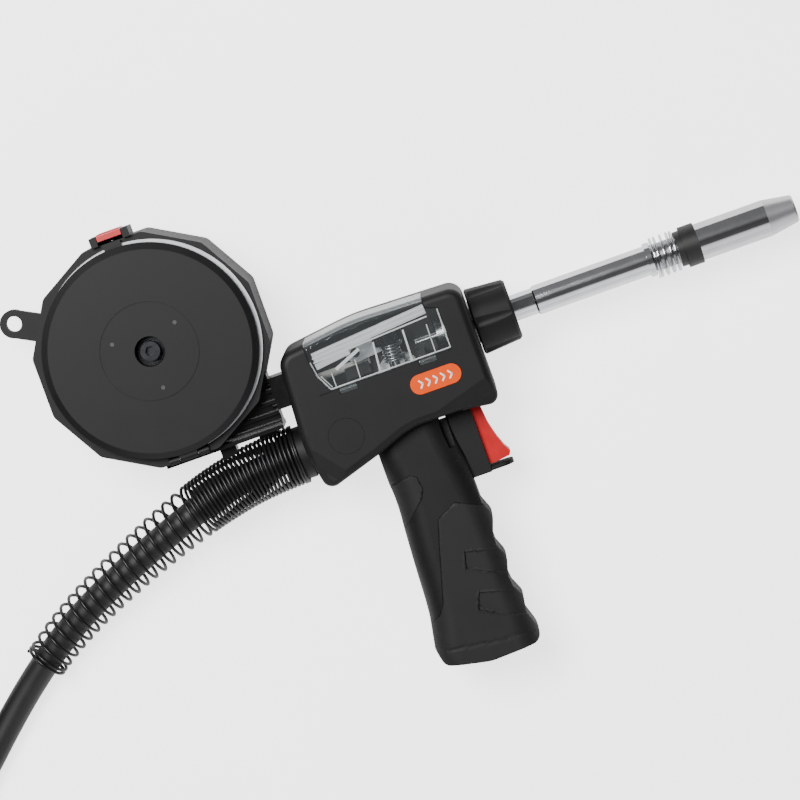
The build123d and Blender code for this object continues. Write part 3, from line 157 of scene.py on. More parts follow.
def add_node(finish, kind, values, wires=()):
    """Adds a node, gives its settings and input values, and joins (input, output socket) wires."""
    made = finish.node_tree.nodes.new(kind)
    for name, value in values.items():
        if isinstance(name, int) or name in made.inputs:
            made.inputs[name].default_value = value
        else:
            setattr(made, name, value)
    for name, source in wires:
        finish.node_tree.links.new(source, made.inputs[name])
    return made


def mottled(name, dark, light, rough, grain, depth, metal=0.0, patch=9.0, coat=0.0, stretch=(1, 1, 1)):
    """A finish that drifts between two colours and two roughnesses over patches, with a fine grain in
    relief. Grain, patch and depth are millimetres; stretch draws the grain out along an axis."""
    made = bpy.data.materials.new(name)
    made.use_nodes = True
    shader = made.node_tree.nodes["Principled BSDF"]
    shader.inputs["Metallic"].default_value = metal
    shader.inputs["Coat Weight"].default_value = coat
    shader.inputs["Coat Roughness"].default_value = COAT_ROUGH
    spot = add_node(made, "ShaderNodeTexCoord", {})
    drift = add_node(made, "ShaderNodeTexNoise", {"Scale": 1 / (patch * MM), "Detail": 4.0, "Roughness": 0.6},
                     [("Vector", spot.outputs["Object"])])
    tone = add_node(made, "ShaderNodeValToRGB", {}, [("Fac", drift.outputs["Fac"])])
    tone.color_ramp.elements[0].position = DRIFT_LOW
    tone.color_ramp.elements[0].color = paint(dark)
    tone.color_ramp.elements[1].position = DRIFT_HIGH
    tone.color_ramp.elements[1].color = paint(light)
    wear = add_node(made, "ShaderNodeMapRange", {"To Min": rough[0], "To Max": rough[1]},
                    [("Value", drift.outputs["Fac"])])
    drawn = add_node(made, "ShaderNodeMapping", {"Scale": stretch}, [("Vector", spot.outputs["Object"])])
    fine = add_node(made, "ShaderNodeTexNoise", {"Scale": 1 / (grain * MM), "Detail": 2.0},
                    [("Vector", drawn.outputs["Vector"])])
    relief = add_node(made, "ShaderNodeBump", {"Strength": 1.0, "Distance": depth * MM},
                      [("Height", fine.outputs["Fac"])])
    for socket, source in (("Base Color", tone.outputs["Color"]), ("Roughness", wear.outputs["Result"]),
                           ("Normal", relief.outputs["Normal"])):
        made.node_tree.links.new(source, shader.inputs[socket])
    return made


jacket = mottled("extruded_rubber", "#0e0e0f", "#161617", (0.42, 0.58), 0.9, 0.02, patch=14)
cable.data.materials.append(jacket)

# ---- coil ties ----
# Two woven nylon straps, 16 mm wide, pulled round the stored turns and closed on themselves. The weave
# is matt and shows as a coarse relief of about a yarn's pitch.
TIE_TURNS = (20, 205)
TIE_WIDE = 16.0
TIE_THICK = 1.1
# each strap's loop seen from its side: distance out from the coil's centre, and height
TIE_LOOP = [(71.5, 0.7), (120.5, 0.7), (122.0, 8.0), (118.5, 18.5), (112.5, 30.6), (78.0, 30.6),
            (70.3, 22.0), (70.0, 7.0)]
TIE_EDGE = 0.3


def add_piece(name, mesh, finish, body, slot, *replaced):
    """Shows a mesh as a piece of its own, riding on a body, in place of CAD nodes."""
    if not isinstance(mesh, bpy.types.Mesh):
        data = bpy.data.meshes.new(name)
        mesh.to_mesh(data)
        mesh.free()
        mesh = data
    mesh.name = name
    mesh.materials.clear()
    mesh.materials.append(finish)
    made = bpy.data.objects.new(name, mesh)
    bpy.context.scene.collection.objects.link(made)
    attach(made, body)
    if replaced:
        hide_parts(*replaced)
    return made


tie_weave = mottled("woven_nylon_strap", "#17171a", "#26262a", (0.7, 0.85), 0.8, 0.15, patch=3,
                    stretch=(1, 1, 0.3))
for count, degrees in enumerate(TIE_TURNS):
    tie = bmesh.new()
    turn = math.radians(degrees)
    outward = Vector((math.cos(turn), math.sin(turn), 0))
    across = Vector((-math.sin(turn), math.cos(turn), 0)) * TIE_WIDE * MM
    centre = at(*COIL_CENTRE, 0) - across / 2
    loop = [tie.verts.new(centre + outward * reach * MM + Vector((0, 0, rise * MM)))
            for reach, rise in TIE_LOOP]
    edges = [tie.edges.new((here, ahead)) for here, ahead in zip(loop, loop[1:] + loop[:1])]
    wall = bmesh.ops.extrude_edge_only(tie, edges=edges)["geom"]
    bmesh.ops.translate(tie, vec=across, verts=[g for g in wall if isinstance(g, bmesh.types.BMVert)])
    bmesh.ops.recalc_face_normals(tie, faces=tie.faces)
    bmesh.ops.solidify(tie, geom=tie.faces[:], thickness=TIE_THICK * MM)
    bmesh.ops.recalc_face_normals(tie, faces=tie.faces)
    bmesh.ops.bevel(tie, geom=tie.edges[:], offset=TIE_EDGE * MM, affect="EDGES", segments=2,
                    profile=0.5, material=-1)
    add_piece(f"coil_tie_{count + 1}", tie, tie_weave, "gun", "jacket")

# ---- strain relief spring ----
# Black oiled spring wire, 1.9 mm thick: close wound over the cable's first 70 mm, then open turns that
# narrow to the end, where the last two turns close up again.
SPRING_WIRE = 1.9
SPRING_START = 8.5
SPRING_END = 203.0
SPRING_CLOSE = 74.0
SPRING_STEPS = 22
# turns wound by each distance along the cable, and the spring's radius there
SPRING_TURNS = [(SPRING_START, 0), (SPRING_START + 1, 1), (SPRING_CLOSE, 28), (SPRING_END - 7, 46),
                (SPRING_END - 2, 48)]
SPRING_RADII = [(0, 16.2), (28, 16.0), (60, 15.7), (94, 14.7), (128, 13.5), (SPRING_END, 11.5)]

spring_steel = mottled("oiled_spring_steel", "#161616", "#222223", (0.26, 0.4), 0.6, 0.01, metal=0.35,
                       patch=6)


def route_line(curve_object):
    """Points along a curve's own line, with their distances from its start, in metres."""
    bare = curve_object.copy()
    bare.data = curve_object.data.copy()
    bare.data.bevel_depth = 0
    mesh = bpy.data.meshes.new_from_object(bare)
    line = np.array([v.co for v in mesh.vertices])
    steps = np.linalg.norm(np.diff(line, axis=0), axis=1)
    bpy.data.objects.remove(bare)
    return line, np.concatenate(([0], np.cumsum(steps)))


def wound_spring(name, line, along, turns, radii, wire, steps=SPRING_STEPS):
    """A wire wound round a line. turns and radii are (distance, value) tables in millimetres."""
    count = int(turns[-1][1] * steps)
    table = np.array(turns)
    ring = np.array(radii)
    curve = bpy.data.curves.new(name, "CURVE")
    curve.dimensions = "3D"
    spline = curve.splines.new("POLY")
    spline.points.add(count)
    for step in range(count + 1):
        turn = step / steps
        far = np.interp(turn, table[:, 1], table[:, 0]) * MM
        radius = float(np.interp(far / MM, ring[:, 0], ring[:, 1])) * MM
        here = np.array([np.interp(far, along, line[:, i]) for i in range(3)])
        ahead = np.array([np.interp(far + MM, along, line[:, i]) for i in range(3)])
        behind = np.array([np.interp(far - MM, along, line[:, i]) for i in range(3)])
        heading = Vector(ahead - behind).normalized()
        side = heading.cross(Vector((0, 0, 1))).normalized()
        angle = 2 * math.pi * turn
        point = Vector(here) + radius * (math.cos(angle) * side + math.sin(angle) * side.cross(heading))
        spline.points[step].co = (*point, 1)
    curve.bevel_depth = wire / 2 * MM
    curve.bevel_resolution = 2
    curve.use_fill_caps = True
    wound = bpy.data.objects.new(name, curve)
    mesh = bpy.data.meshes.new_from_object(wound)
    bpy.data.objects.remove(wound)
    mesh.polygons.foreach_set("use_smooth", [True] * len(mesh.polygons))
    return mesh


cable_line, cable_along = route_line(cable)
strain_spring = wound_spring("strain_spring", cable_line, cable_along, SPRING_TURNS, SPRING_RADII,
                             SPRING_WIRE)
add_piece("strain_relief_spring", strain_spring, spring_steel, "gun", "black_wire", "cable_spring")

# ---- housing ----
# Two half shells injection moulded in black glass-filled nylon. The mould is spark eroded, so the
# surface is a fine even grain that scatters the light and hides scuffs.
NYLON_SHEEN = 0.28
moulded = mottled("spark_eroded_nylon", "#0d0d0e", "#141415", (0.46, 0.6), 0.55, 0.035, patch=22)
moulded.node_tree.nodes["Principled BSDF"].inputs["Specular IOR Level"].default_value = NYLON_SHEEN


def coat_nodes(finish, *names):
    """Gives CAD nodes a finish."""
    for name in names:
        mesh = nodes[name].data
        mesh.materials.clear()
        mesh.materials.append(finish)


coat_nodes(moulded, "body_shell_right", "body_shell_left", "blank_cap", "canister_shell", "hanging_eye",
           "latch_housing", "cable_collar", "front_nut")

# ---- grip pads ----
# Soft elastomer moulded over the grip, matt and slightly lighter than the nylon. Two scooped pockets
# on each side take the fingers, each cut in deepest at its rear end.
POCKETS = [[(-4, -116.5), (24, -124.2), (24, -140.5), (-6.5, -126)],
           [(-4, -140.5), (24, -148.5), (24, -165.5), (-7.5, -150)]]
POCKET_DEPTH = 1.1
POCKET_SHALLOW = 0.4
POCKET_REAR = -7
POCKET_RUN = 24.0
WALL_RUN = 0.35
LIP_WIDTH = 0.8
LIP_RISE = 0.35
BASE_BAND = [(-40, -164.6), (-20, -167.2), (0, -170.2), (24, -170.8)]
PAD_SEAMS = {"front": [(16, -95.9), (14.5, -95.6), (0, -88.5), (-12, -95), (-16.5, -110), (-25, -140),
                       (-29, -146), (-50, -158)],
             "rear": [(-50, -74), (-30.5, -69), (-18, -66.5), (-14.5, -68.5), (-13.5, -76), (-16, -81),
                      (-31.5, -95.5), (-50, -110)]}
SEAM_WIDTH = 0.55
SEAM_DEPTH = 0.6
SEAM_REACH = 0.9
PAD_STEP = 1.6
PAD_CUTS = (-24, 14)
PAD_FACE = 5
PAD_CREASE = 32
PAD_SHEEN = 0.34
WELD = 0.001

elastomer = mottled("overmoulded_elastomer", "#131314", "#1a1a1b", (0.55, 0.7), 0.4, 0.03, patch=16)
elastomer.node_tree.nodes["Principled BSDF"].inputs["Specular IOR Level"].default_value = PAD_SHEEN


def smooth(mesh, degrees):
    """Smooth shading, with edges sharper than the given angle kept crisp."""
    mesh.polygons.foreach_set("use_smooth", [True] * len(mesh.polygons))
    mesh.set_sharp_from_angle(angle=math.radians(degrees))


def loose_copy(name):
    """A CAD node's mesh as one joined skin that can be cut and shaped."""
    skin = bmesh.new()
    skin.from_mesh(nodes[name].data)
    bmesh.ops.remove_doubles(skin, verts=skin.verts, dist=WELD * MM)
    return skin


def cut_across(skin, point, normal):
    """Splits every face that a plane crosses, and keeps both sides."""
    bmesh.ops.bisect_plane(skin, geom=skin.verts[:] + skin.edges[:] + skin.faces[:], plane_co=point,
                           plane_no=normal, dist=WELD / 100 * MM)


def inset_of(point, outline):
    """How far inside a clockwise outline a point is, in millimetres; negative outside."""
    depths = []
    for here, ahead in zip(outline, outline[1:] + outline[:1]):
        run = Vector(ahead) - Vector(here)
        depths.append((point - Vector(here)).dot(Vector((run.y, -run.x)).normalized()))
    return min(depths)


def seam_distance(point, seam):
    """How far a point is from a seam's nearest run, in millimetres."""
    gaps = []
    for here, ahead in zip(seam, seam[1:]):
        start, run = Vector(here), Vector(ahead) - Vector(here)
        share = max(0, min(1, (point - start).dot(run) / run.length_squared))
        gaps.append((point - start - share * run).length)
    return min(gaps)


def shaped_pad(name, side, seam, pockets):
    """A soft pad with its rim let down beside the seam and the finger pockets pressed in."""
    skin = loose_copy(name)
    lowest = min(v.co.y for v in skin.verts)
    highest = max(v.co.y for v in skin.verts)
    for step in range(1, int((highest - lowest) / (PAD_STEP * MM))):
        cut_across(skin, Vector((0, lowest + step * PAD_STEP * MM, 0)), Vector((0, 1, 0)))
    for step in range(*PAD_CUTS):
        cut_across(skin, at(step * PAD_STEP, 0, 0), Vector((1, 0, 0)))
    lines = [(outline + outline[:1], (-LIP_WIDTH, 0, WALL_RUN)) for outline in pockets]
    lines.append((seam, (0, SEAM_WIDTH, -SEAM_WIDTH)))
    for outline, offsets in lines:
        for here, ahead in zip(outline, outline[1:]):
            run = Vector((*ahead, 0)) - Vector((*here, 0))
            inward = Vector((run.y, -run.x, 0)).normalized()
            for offset in offsets:
                cut_across(skin, at(*here, 0) + inward * offset * MM, inward)
    for vertex in skin.verts:
        place = (vertex.co - BARREL) / MM
        spot = Vector((place.x, place.y))
        if side * (place.z - MID) < PAD_FACE:
            continue
        drop = 0
        for outline in pockets:
            inside = inset_of(spot, outline)
            if inside > 0:
                floor = max(POCKET_SHALLOW, 1 - (place.x - POCKET_REAR) / POCKET_RUN)
                drop = POCKET_DEPTH * min(1, inside / WALL_RUN) * floor
            elif inside > -LIP_WIDTH and drop == 0:
                drop = -LIP_RISE * (1 + inside / LIP_WIDTH)
        if seam_distance(spot, seam) < SEAM_WIDTH * SEAM_REACH:
            drop = max(drop, SEAM_DEPTH)
        band = np.interp(place.x, [p[0] for p in BASE_BAND], [p[1] for p in BASE_BAND])
        if abs(place.y - band) < PAD_STEP / 2:
            drop = max(drop, SEAM_DEPTH / 2)
        vertex.co.z -= side * drop * MM
    data = bpy.data.meshes.new(name)
    skin.to_mesh(data)
    skin.free()
    smooth(data, PAD_CREASE)
    return data


for hand, side in (("right", 1), ("left", -1)):
    for end, pockets in (("front", POCKETS), ("rear", [])):
        node = f"grip_{end}_pad_{hand}"
        add_piece(f"{end}_pad_{hand}", shaped_pad(node, side, PAD_SEAMS[end], pockets), elastomer,
                  "gun", "grip", node)

# ---- clear cover ----
# Polished clear polycarbonate. Face on it is nearly invisible; its edges and slanting walls catch the
# light and go white.
POLYCARBONATE_IOR = 1.585
EDGE_BLEND = 0.35
HAZE_PATCH = 11
HAZE_SHARE = 0.05


def see_through(name, base, tint, rough, least, most):
    """A clear plastic: it lets light straight through face on and goes pale at its edges and slopes."""
    made = bpy.data.materials.new(name)
    made.use_nodes = True
    skin = made.node_tree.nodes["Principled BSDF"]
    skin.inputs["Base Color"].default_value = paint(base)
    skin.inputs["Roughness"].default_value = rough
    skin.inputs["IOR"].default_value = POLYCARBONATE_IOR
    through = add_node(made, "ShaderNodeBsdfTransparent", {"Color": paint(tint)})
    facing = add_node(made, "ShaderNodeLayerWeight", {"Blend": EDGE_BLEND})
    haze = add_node(made, "ShaderNodeTexNoise", {"Scale": 1 / (HAZE_PATCH * MM), "Detail": 5.0})
    slope = add_node(made, "ShaderNodeMapRange", {"To Min": least, "To Max": most},
                     [("Value", facing.outputs["Facing"])])
    share = add_node(made, "ShaderNodeMath", {"operation": "MULTIPLY_ADD", 1: HAZE_SHARE},
                     [(0, haze.outputs["Fac"]), (2, slope.outputs["Result"])])
    both = add_node(made, "ShaderNodeMixShader", {},
                    [("Fac", share.outputs["Value"]), (1, through.outputs["BSDF"]),
                     (2, skin.outputs["BSDF"])])
    surface = made.node_tree.nodes["Material Output"].inputs["Surface"]
    made.node_tree.links.new(both.outputs["Shader"], surface)
    return made


polycarbonate = see_through("clear_polycarbonate", "#b4babd", "#fafbfb", 0.05, 0.01, 0.8)
# near-white finish for flat bands under the cover: a painted reflection of the bright surround
painted_glare = see_through("painted_glare_polycarbonate", "#f4f5f6", "#ffffff", 0.4, 0.5, 0.9)
# near-white finish for the ribs: a painted highlight where light runs along the clear ribs
rib_painted_highlight = see_through("polycarbonate_rib_painted_highlight", "#fdfdfd", "#ffffff", 0.18, 0.72, 1.0)
coat_nodes(polycarbonate, "clear_cover")

# ---- cover ribs ----
# Ribs moulded inside the clear cover: two stout ones across it, finer ones beside them, a rail round
# the rim and three long ones under the sloping top. Light runs along them, so they are coloured near
# white as a painted highlight.
RIB_TOP = MID + 28.9
RIB_DEEP = 1.3
RIB_EDGE = 0.15
BAND_TOP = RIB_TOP - 0.1
BAND_DEEP = 0.5
# each bar's two ends and its width
RIBS = [((-13.5, -6.0), (-12.0, 10.5), 1.1), ((5.0, -6.0), (5.6, 11.5), 1.1),
        ((-39.0, -6.0), (-39.0, 2.0), 0.6), ((-25.0, -6.0), (-24.5, 5.0), 0.6),
        ((18.5, -6.0), (18.8, 10.0), 0.6), ((-42.3, -6.2), (27.0, -6.2), 0.7),
        ((27.1, -6.4), (27.1, 16.2), 0.7), ((-48.2, 11.5), (-46.8, 3.0), 0.7),
        ((-46.8, 3.0), (-42.2, -6.2), 0.7), ((-45.2, 2.5), (-41.0, -5.4), 0.5),
        ((-46.5, 10.5), (20.5, 14.0), 0.8), ((-46.5, 12.8), (20.5, 17.2), 0.7),
        ((-44.5, 15.0), (20.5, 19.8), 0.7), ((-36.0, 3.2), (-20.5, 9.6), 1.8)]
# flat bands under the sloping top, coloured white as a painted reflection of the bright surround seen there
# at a grazing angle
PAINTED_GLARE_BANDS = [((-46.0, 13.2), (20.5, 18.4), 5.4), ((-46.0, 8.0), (-26.0, 10.4), 3.4)]


def add_bar(skin, start, end, wide, low, high):
    """A straight bar between two places seen from above, all in millimetres."""
    run = Vector(end) - Vector(start)
    bar = bmesh.ops.create_cube(skin, size=MM)["verts"]
    bmesh.ops.scale(skin, vec=(run.length, wide, high - low), verts=bar)
    bmesh.ops.rotate(skin, matrix=Matrix.Rotation(math.atan2(run.y, run.x), 3, "Z"), verts=bar)
    middle = (Vector(start) + Vector(end)) / 2
    bmesh.ops.translate(skin, vec=at(middle.x, middle.y, (low + high) / 2), verts=bar)


ribs = bmesh.new()
for start, end, wide in RIBS:
    add_bar(ribs, start, end, wide, RIB_TOP - RIB_DEEP, RIB_TOP)
bmesh.ops.bevel(ribs, geom=ribs.edges[:], offset=RIB_EDGE * MM, affect="EDGES", segments=2, profile=0.5,
                material=-1)
add_piece("cover_ribs", ribs, rib_painted_highlight, "cover", "clear")
# Pale bands under the sloping top: a painted reflection of the bright surround seen at a grazing angle.
band = bmesh.new()
for start, end, wide in PAINTED_GLARE_BANDS:
    add_bar(band, start, end, wide, BAND_TOP - BAND_DEEP, BAND_TOP)
add_piece("cover_painted_glare_band", band, painted_glare, "cover", "clear")

# ---- badge ----
# A domed pill label, orange under a clear poured resin and stuck to the housing, with a row of plain
# white printed chevrons. The resin keeps the colour deep and only softly shiny.
CHEVRONS = 5
CHEVRON_PITCH = 4.2
CHEVRON_TALL = 4.6
CHEVRON_LEAN = 1.9
CHEVRON_LINE = 0.9
PRINT_SINK = 0.02
PRINT_RISE = 0.06
LABEL_SHEEN = 0.15
enamel = mottled("orange_domed_label", "#ee4c00", "#f45400", (0.38, 0.46), 1.2, 0.004, patch=5)
enamel.node_tree.nodes["Principled BSDF"].inputs["Specular IOR Level"].default_value = LABEL_SHEEN
coat_nodes(enamel, "badge")
white_ink = mottled("white_print", "#f2f2f0", "#fbfbfa", (0.4, 0.5), 0.6, 0.004, patch=3)
badge_low, badge_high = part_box("badge")
badge_centre = ((badge_low + badge_high) / 2 - BARREL) / MM
badge_face = badge_high.z / MM
marks = bmesh.new()
for count in range(CHEVRONS):
    middle = badge_centre.x + (count - (CHEVRONS - 1) / 2) * CHEVRON_PITCH
    for half in (-1, 1):
        add_bar(marks, (middle + CHEVRON_LEAN / 2, badge_centre.y),
                (middle - CHEVRON_LEAN / 2, badge_centre.y + half * CHEVRON_TALL / 2), CHEVRON_LINE,
                badge_face - PRINT_SINK, badge_face + PRINT_RISE)
add_piece("badge_chevrons", marks, white_ink, "gun", "badge")

# ---- chromed neck and nozzle ----
# Copper tube under bright decorative chrome, with the faint drag of the polishing wheel. The nozzle's
# tapered tip is left satin from the lathe, and a chromed wire spring holds the nozzle on.
NOZZLE_SATIN = 214.8
SATIN_FADE = 0.4
POLISHED_ROUGH = 0.11
SATIN_ROUGH = 0.38
HOLD_LENGTH = 14.5
HOLD_STEPS = 30
HOLD_RADIUS = 10.8
HOLD_WIRE = 1.5
HOLD_ROUND = 36
HOLD_TURNS = [(0.8, 0), (2.0, 1), (12.5, 3.9), (13.7, 4.9)]
chrome = mottled("polished_chrome", "#dfe1e4", "#eceef0", (0.07, 0.15), 0.5, 0.002, metal=1.0, patch=12)
satin = mottled("turned_satin_chrome", "#cfd0d2", "#dcdddf", (0.26, 0.38), 0.25, 0.01, metal=1.0, patch=8,
                stretch=(1, 0.05, 0.05))
coat_nodes(chrome, "neck_tube")
coat_nodes(satin, "nozzle")
tip_spot = add_node(satin, "ShaderNodeTexCoord", {})
tip_axes = add_node(satin, "ShaderNodeSeparateXYZ", {}, [("Vector", tip_spot.outputs["Object"])])
satin_start = BARREL.x + NOZZLE_SATIN * MM
turned_tip = add_node(satin, "ShaderNodeMapRange",
                      {"From Min": satin_start, "From Max": satin_start + SATIN_FADE * MM,
                       "To Min": POLISHED_ROUGH, "To Max": SATIN_ROUGH},
                      [("Value", tip_axes.outputs["X"])])
satin.node_tree.links.new(turned_tip.outputs["Result"],
                          satin.node_tree.nodes["Principled BSDF"].inputs["Roughness"])
hold_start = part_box("nozzle_spring")[0].x
hold_line = np.array([(hold_start + step * MM, BARREL.y, MID * MM)
                      for step in np.linspace(0, HOLD_LENGTH, HOLD_STEPS)])
hold_along = np.linspace(0, HOLD_LENGTH * MM, HOLD_STEPS)
nozzle_spring = wound_spring("nozzle_spring_wire", hold_line, hold_along, HOLD_TURNS,
                             [(0, HOLD_RADIUS), (HOLD_LENGTH, HOLD_RADIUS)], HOLD_WIRE, HOLD_ROUND)
add_piece("nozzle_retaining_spring", nozzle_spring, chrome, "gun", "chrome", "nozzle_spring")

# ---- insulating ring ----
# Black phenolic ring between the spring and the nozzle, moulded, lightly turned and pressed on. It is
# dull and a shade lighter than the nylon. The switch and the connector's body are moulded in the same.
phenolic = mottled("moulded_phenolic", "#121212", "#191919", (0.42, 0.55), 0.5, 0.02, patch=8)
coat_nodes(phenolic, "nozzle_ring", "microswitch", "connector_body")

# ---- brass, copper and small steel parts ----
# Turned brass worm and pins, turned copper tip, nickelled gas parts, zinc plated rolls, pins and motor,
# and screws blackened in hot oxide. Turning leaves the bare metals satin, and plating evens them.
brass = mottled("turned_brass", "#c9a04e", "#ddbb6e", (0.2, 0.34), 0.3, 0.01, metal=1.0, patch=6)
copper = mottled("turned_copper", "#c57b50", "#d99468", (0.22, 0.36), 0.3, 0.01, metal=1.0, patch=6)
zinc = mottled("zinc_plated_steel", "#b4b7ba", "#cfd1d4", (0.24, 0.4), 0.5, 0.012, metal=1.0, patch=4)
nickel = mottled("nickelled_brass", "#8f9092", "#a9aaac", (0.22, 0.34), 0.4, 0.008, metal=1.0, patch=5)
blackened = mottled("black_oxide_steel", "#232426", "#303134", (0.3, 0.42), 0.5, 0.01, metal=0.8, patch=5)
coat_nodes(brass, "worm", "connector_pins")
coat_nodes(nickel, "gas_diffuser", "outlet_guide", "neck_socket")
coat_nodes(blackened, "spindle_screw", "brake_washer", "arm_screws", "cover_hinge_pin", "housing_screws")
coat_nodes(copper, "contact_tip")
coat_nodes(zinc, "lid_hinge_pin", "brake_spring", "drive_motor", "drive_shaft", "drive_roll", "pressure_roll",
           "tension_screw", "trigger_pin")

# ---- return springs ----
# Small compression springs of bright drawn wire with closed ends: under the tension nut, behind the
# trigger and under the latch button.
COIL_STEPS_ALONG = 20
# CAD node, piece, body, joint, the axis it lies on, turns, wire in mm and its shortest share of its length
SPRINGS = [("tension_spring", "tension_coil", "pressure_arm", "arm_lift", 1, 6, 1.0, 0.6),
           ("trigger_spring", "trigger_coil", "gun", "trigger_pull", 0, 4, 0.6, 0.2),
           ("latch_spring", "latch_coil", "gun", "latch_press", 1, 3, 0.35, 0.12)]
for node, name, body, joint, axis, turns, thick, shortest in SPRINGS:
    low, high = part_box(node)
    ends = [(low + high) / 2, (low + high) / 2]
    ends[0][axis] = low[axis] + thick / 2 * MM
    ends[1][axis] = high[axis] - thick / 2 * MM
    length = (ends[1] - ends[0]).length / MM
    outer = (high - low)[2] / MM / 2 - thick / 2
    spring_line = np.array([ends[0].lerp(ends[1], share) for share in np.linspace(0, 1, COIL_STEPS_ALONG)])
    spring_along = np.linspace(0, length * MM, COIL_STEPS_ALONG)
    coil_mesh = wound_spring(name, spring_line, spring_along,
                             [(0, 0), (thick, 1), (length - thick, turns - 1), (length, turns)],
                             [(0, outer), (length, outer)], thick)
    coil_piece = add_piece(name, coil_mesh, zinc, body, "steel", node)
    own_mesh(coil_piece)

# ---- feed plate and pressure arm ----
# The plate is milled aluminium, anodised black and satin. The arm is die cast and left bare and grey,
# and the wire's inlet guide is a drawn tube of natural nylon.
cast = mottled("die_cast_aluminium", "#a9abad", "#c2c4c6", (0.36, 0.5), 0.8, 0.03, metal=1.0, patch=7)
anodised = mottled("black_anodised_plate", "#101011", "#1b1b1c", (0.34, 0.48), 0.8, 0.02, metal=0.3, patch=7)
coat_nodes(anodised, "feed_plate")
coat_nodes(cast, "pressure_arm")
liner = mottled("natural_nylon_liner", "#d9d8d0", "#e6e5de", (0.4, 0.5), 0.6, 0.01, patch=6)
coat_nodes(liner, "inlet_guide")

# ---- canister arm and nuts ----
# The ribbed arm, the tension nut and the connector's nut are nylon from a polished mould, so they are
# blacker than the housing and catch sharp highlights along their ribs.
gloss = mottled("polished_black_nylon", "#070708", "#0c0c0d", (0.16, 0.26), 2.2, 0.01, patch=10, coat=0.3)
coat_nodes(gloss, "canister_arm", "tension_nut", "connector_nut")

# ---- trigger and latch button ----
# Bright red ABS, injection moulded in a finely textured mould. The trigger hangs on a steel pin and the
# button slides in its bracket. It is a little glossier in patches, where fingers rub.
red = mottled("moulded_red_abs", "#c0060c", "#cc0c12", (0.3, 0.42), 0.7, 0.012, patch=9, coat=0.1)
coat_nodes(red, "trigger", "latch_button")

# ---- lid ----
# The lid is moulded in nylon like the housing, and three ejector pins leave round burnished marks about
# its screw hole. The ring between it and the canister is coloured pale grey as a painted reflection of
# the glossy rim that catches the light there.
lid_nylon = mottled("spark_eroded_lid", "#0e0e0f", "#151516", (0.46, 0.56), 0.5, 0.03, patch=30)
lid_nylon.node_tree.nodes["Principled BSDF"].inputs["Specular IOR Level"].default_value = NYLON_SHEEN
coat_nodes(lid_nylon, "canister_lid")
PIN_MARKS = (30, 150, 270)
PIN_MARK_OUT = 21.0
PIN_MARK_R = 1.3
PIN_MARK_TAPER = 0.2
PIN_MARK_DEEP = 0.2
lid_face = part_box("canister_lid")[1].z
spindle_low, spindle_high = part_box("spindle")
lid_centre = (spindle_low + spindle_high) / 2
pin_marks = bmesh.new()
for degrees in PIN_MARKS:
    turn = math.radians(degrees)
    spot = lid_centre + Vector((math.cos(turn), math.sin(turn), 0)) * PIN_MARK_OUT * MM
    mark = bmesh.ops.create_cone(pin_marks, cap_ends=True, segments=32, radius1=PIN_MARK_R * MM,
                                 radius2=(PIN_MARK_R - PIN_MARK_TAPER) * MM,
                                 depth=PIN_MARK_DEEP * MM)["verts"]
    bmesh.ops.translate(pin_marks, vec=(spot.x, spot.y, lid_face), verts=mark)
burnished = mottled("burnished_nylon", "#3c3d3f", "#4c4d50", (0.24, 0.34), 0.5, 0.01, patch=2)
add_piece("lid_pin_marks", pin_marks, burnished, "lid", "housing")
# the ring's pale grey colour is a painted reflection of the glossy rim between lid and canister
seal_painted_reflection = mottled("white_seal_painted_reflection", "#cfd2d4", "#dde0e1", (0.35, 0.45), 0.7, 0.01, patch=9)
coat_nodes(seal_painted_reflection, "lid_seal")

# ---- spool, spindle and wire ----
# The spool, its spindle and the worm wheel are moulded in dark grey nylon. The wire is bright drawn
# aluminium, wound in layers, and its turns are a relief 0.8 mm apart, which is the wire's thickness.
spool_nylon = mottled("moulded_spool_nylon", "#2a2a2c", "#333335", (0.4, 0.52), 0.8, 0.02, patch=12)
coat_nodes(spool_nylon, "spindle", "wire_spool", "worm_wheel")
wire = mottled("drawn_aluminium_wire", "#c0c2c5", "#d8dadc", (0.24, 0.34), 0.8, 0.25, metal=1.0, patch=10,
               stretch=(0.02, 0.02, 1))
coat_nodes(wire, "wire_winding")

# ---- bench and lights ----
# A white painted bench that glows like a light table, at full strength to the eye and less on to the
# gun. One soft light hangs over the gun. The surround is bright low down on the gun's lower side and dark
# overhead, which gives the chrome its pale lower half and the dark band above it.
BENCH_HALF = 6.0
BENCH_GLOW = 2.4
BENCH_SPILL = 0.45
SURROUND_LEAN = math.radians(68)
SURROUND_BLUE = 1.02
SOFTBOX_SIZE = 0.9
SOFTBOX_WATTS = 52
SOFTBOX_PLACE = (-0.5, 0.75, 1.7)
SOFTBOX_TILT = (math.radians(-24), math.radians(-16), 0)
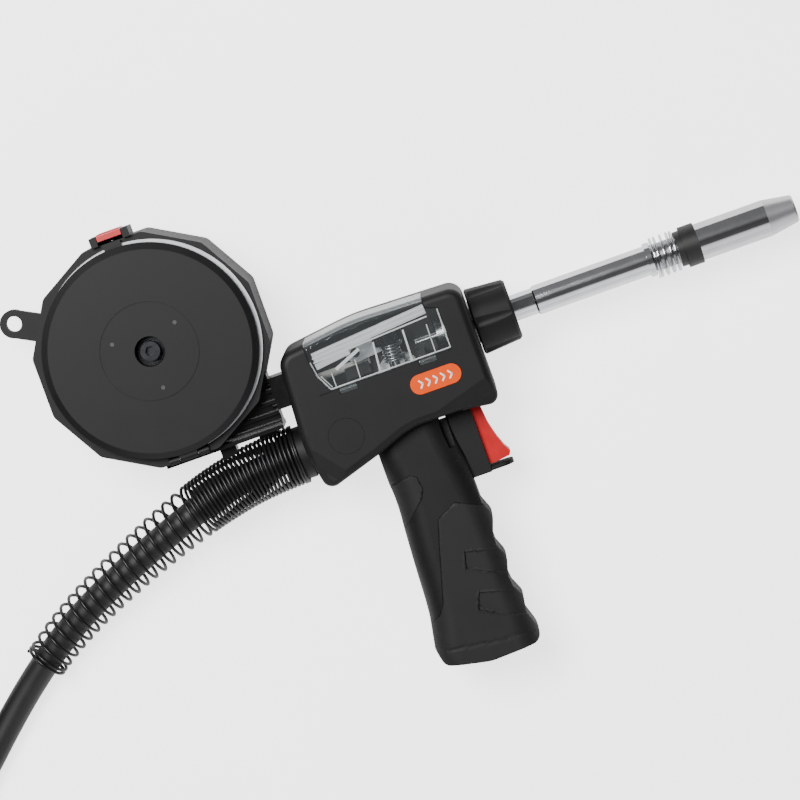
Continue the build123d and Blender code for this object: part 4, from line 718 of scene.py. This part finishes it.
# how bright the surround is, from 0 square to the direction it leans in to 1 along that direction
SURROUND = [(0.01, 0.2), (0.3, 0.06), (0.72, 0.1), (0.84, 1.1), (0.985, 1.3)]
bench_white = mottled("painted_bench", "#f1f1f1", "#f6f6f6", (0.8, 0.9), 2.0, 0.01, patch=60)
bench_shader = bench_white.node_tree.nodes["Principled BSDF"]
bench_shader.inputs["Emission Color"].default_value = paint("#ffffff")
seen = add_node(bench_white, "ShaderNodeLightPath", {})
glow = add_node(bench_white, "ShaderNodeMapRange", {"To Min": BENCH_SPILL, "To Max": BENCH_GLOW},
                [("Value", seen.outputs["Is Camera Ray"])])
bench_white.node_tree.links.new(glow.outputs["Result"], bench_shader.inputs["Emission Strength"])
bench_mesh = bmesh.new()
bmesh.ops.create_grid(bench_mesh, x_segments=1, y_segments=1, size=BENCH_HALF)
bench_data = bpy.data.meshes.new("bench")
bench_mesh.to_mesh(bench_data)
bench_mesh.free()
bench_data.materials.append(bench_white)
bench = bpy.data.objects.new("bench", bench_data)
bpy.context.scene.collection.objects.link(bench)

softbox = bpy.data.lights.new("softbox", "AREA")
softbox.size = SOFTBOX_SIZE
softbox.energy = SOFTBOX_WATTS
lamp = bpy.data.objects.new("softbox", softbox)
lamp.location = SOFTBOX_PLACE
lamp.rotation_euler = SOFTBOX_TILT
bpy.context.scene.collection.objects.link(lamp)

studio = bpy.data.worlds.new("studio")
studio.use_nodes = True
bpy.context.scene.world = studio
sky = add_node(studio, "ShaderNodeTexCoord", {})
leaned = add_node(studio, "ShaderNodeMapping", {"Rotation": (-SURROUND_LEAN, 0, 0)},
                  [("Vector", sky.outputs["Generated"])])
height = add_node(studio, "ShaderNodeSeparateXYZ", {}, [("Vector", leaned.outputs["Vector"])])
ramp = add_node(studio, "ShaderNodeValToRGB", {}, [("Fac", height.outputs["Z"])])
for position, grey in SURROUND:
    stop = ramp.color_ramp.elements.new(position)
    stop.color = (grey, grey, grey * SURROUND_BLUE, 1)
ramp.color_ramp.elements.remove(ramp.color_ramp.elements[0])
backdrop = studio.node_tree.nodes["Background"]
studio.node_tree.links.new(ramp.outputs["Color"], backdrop.inputs["Color"])

bpy.context.view_layer.update()
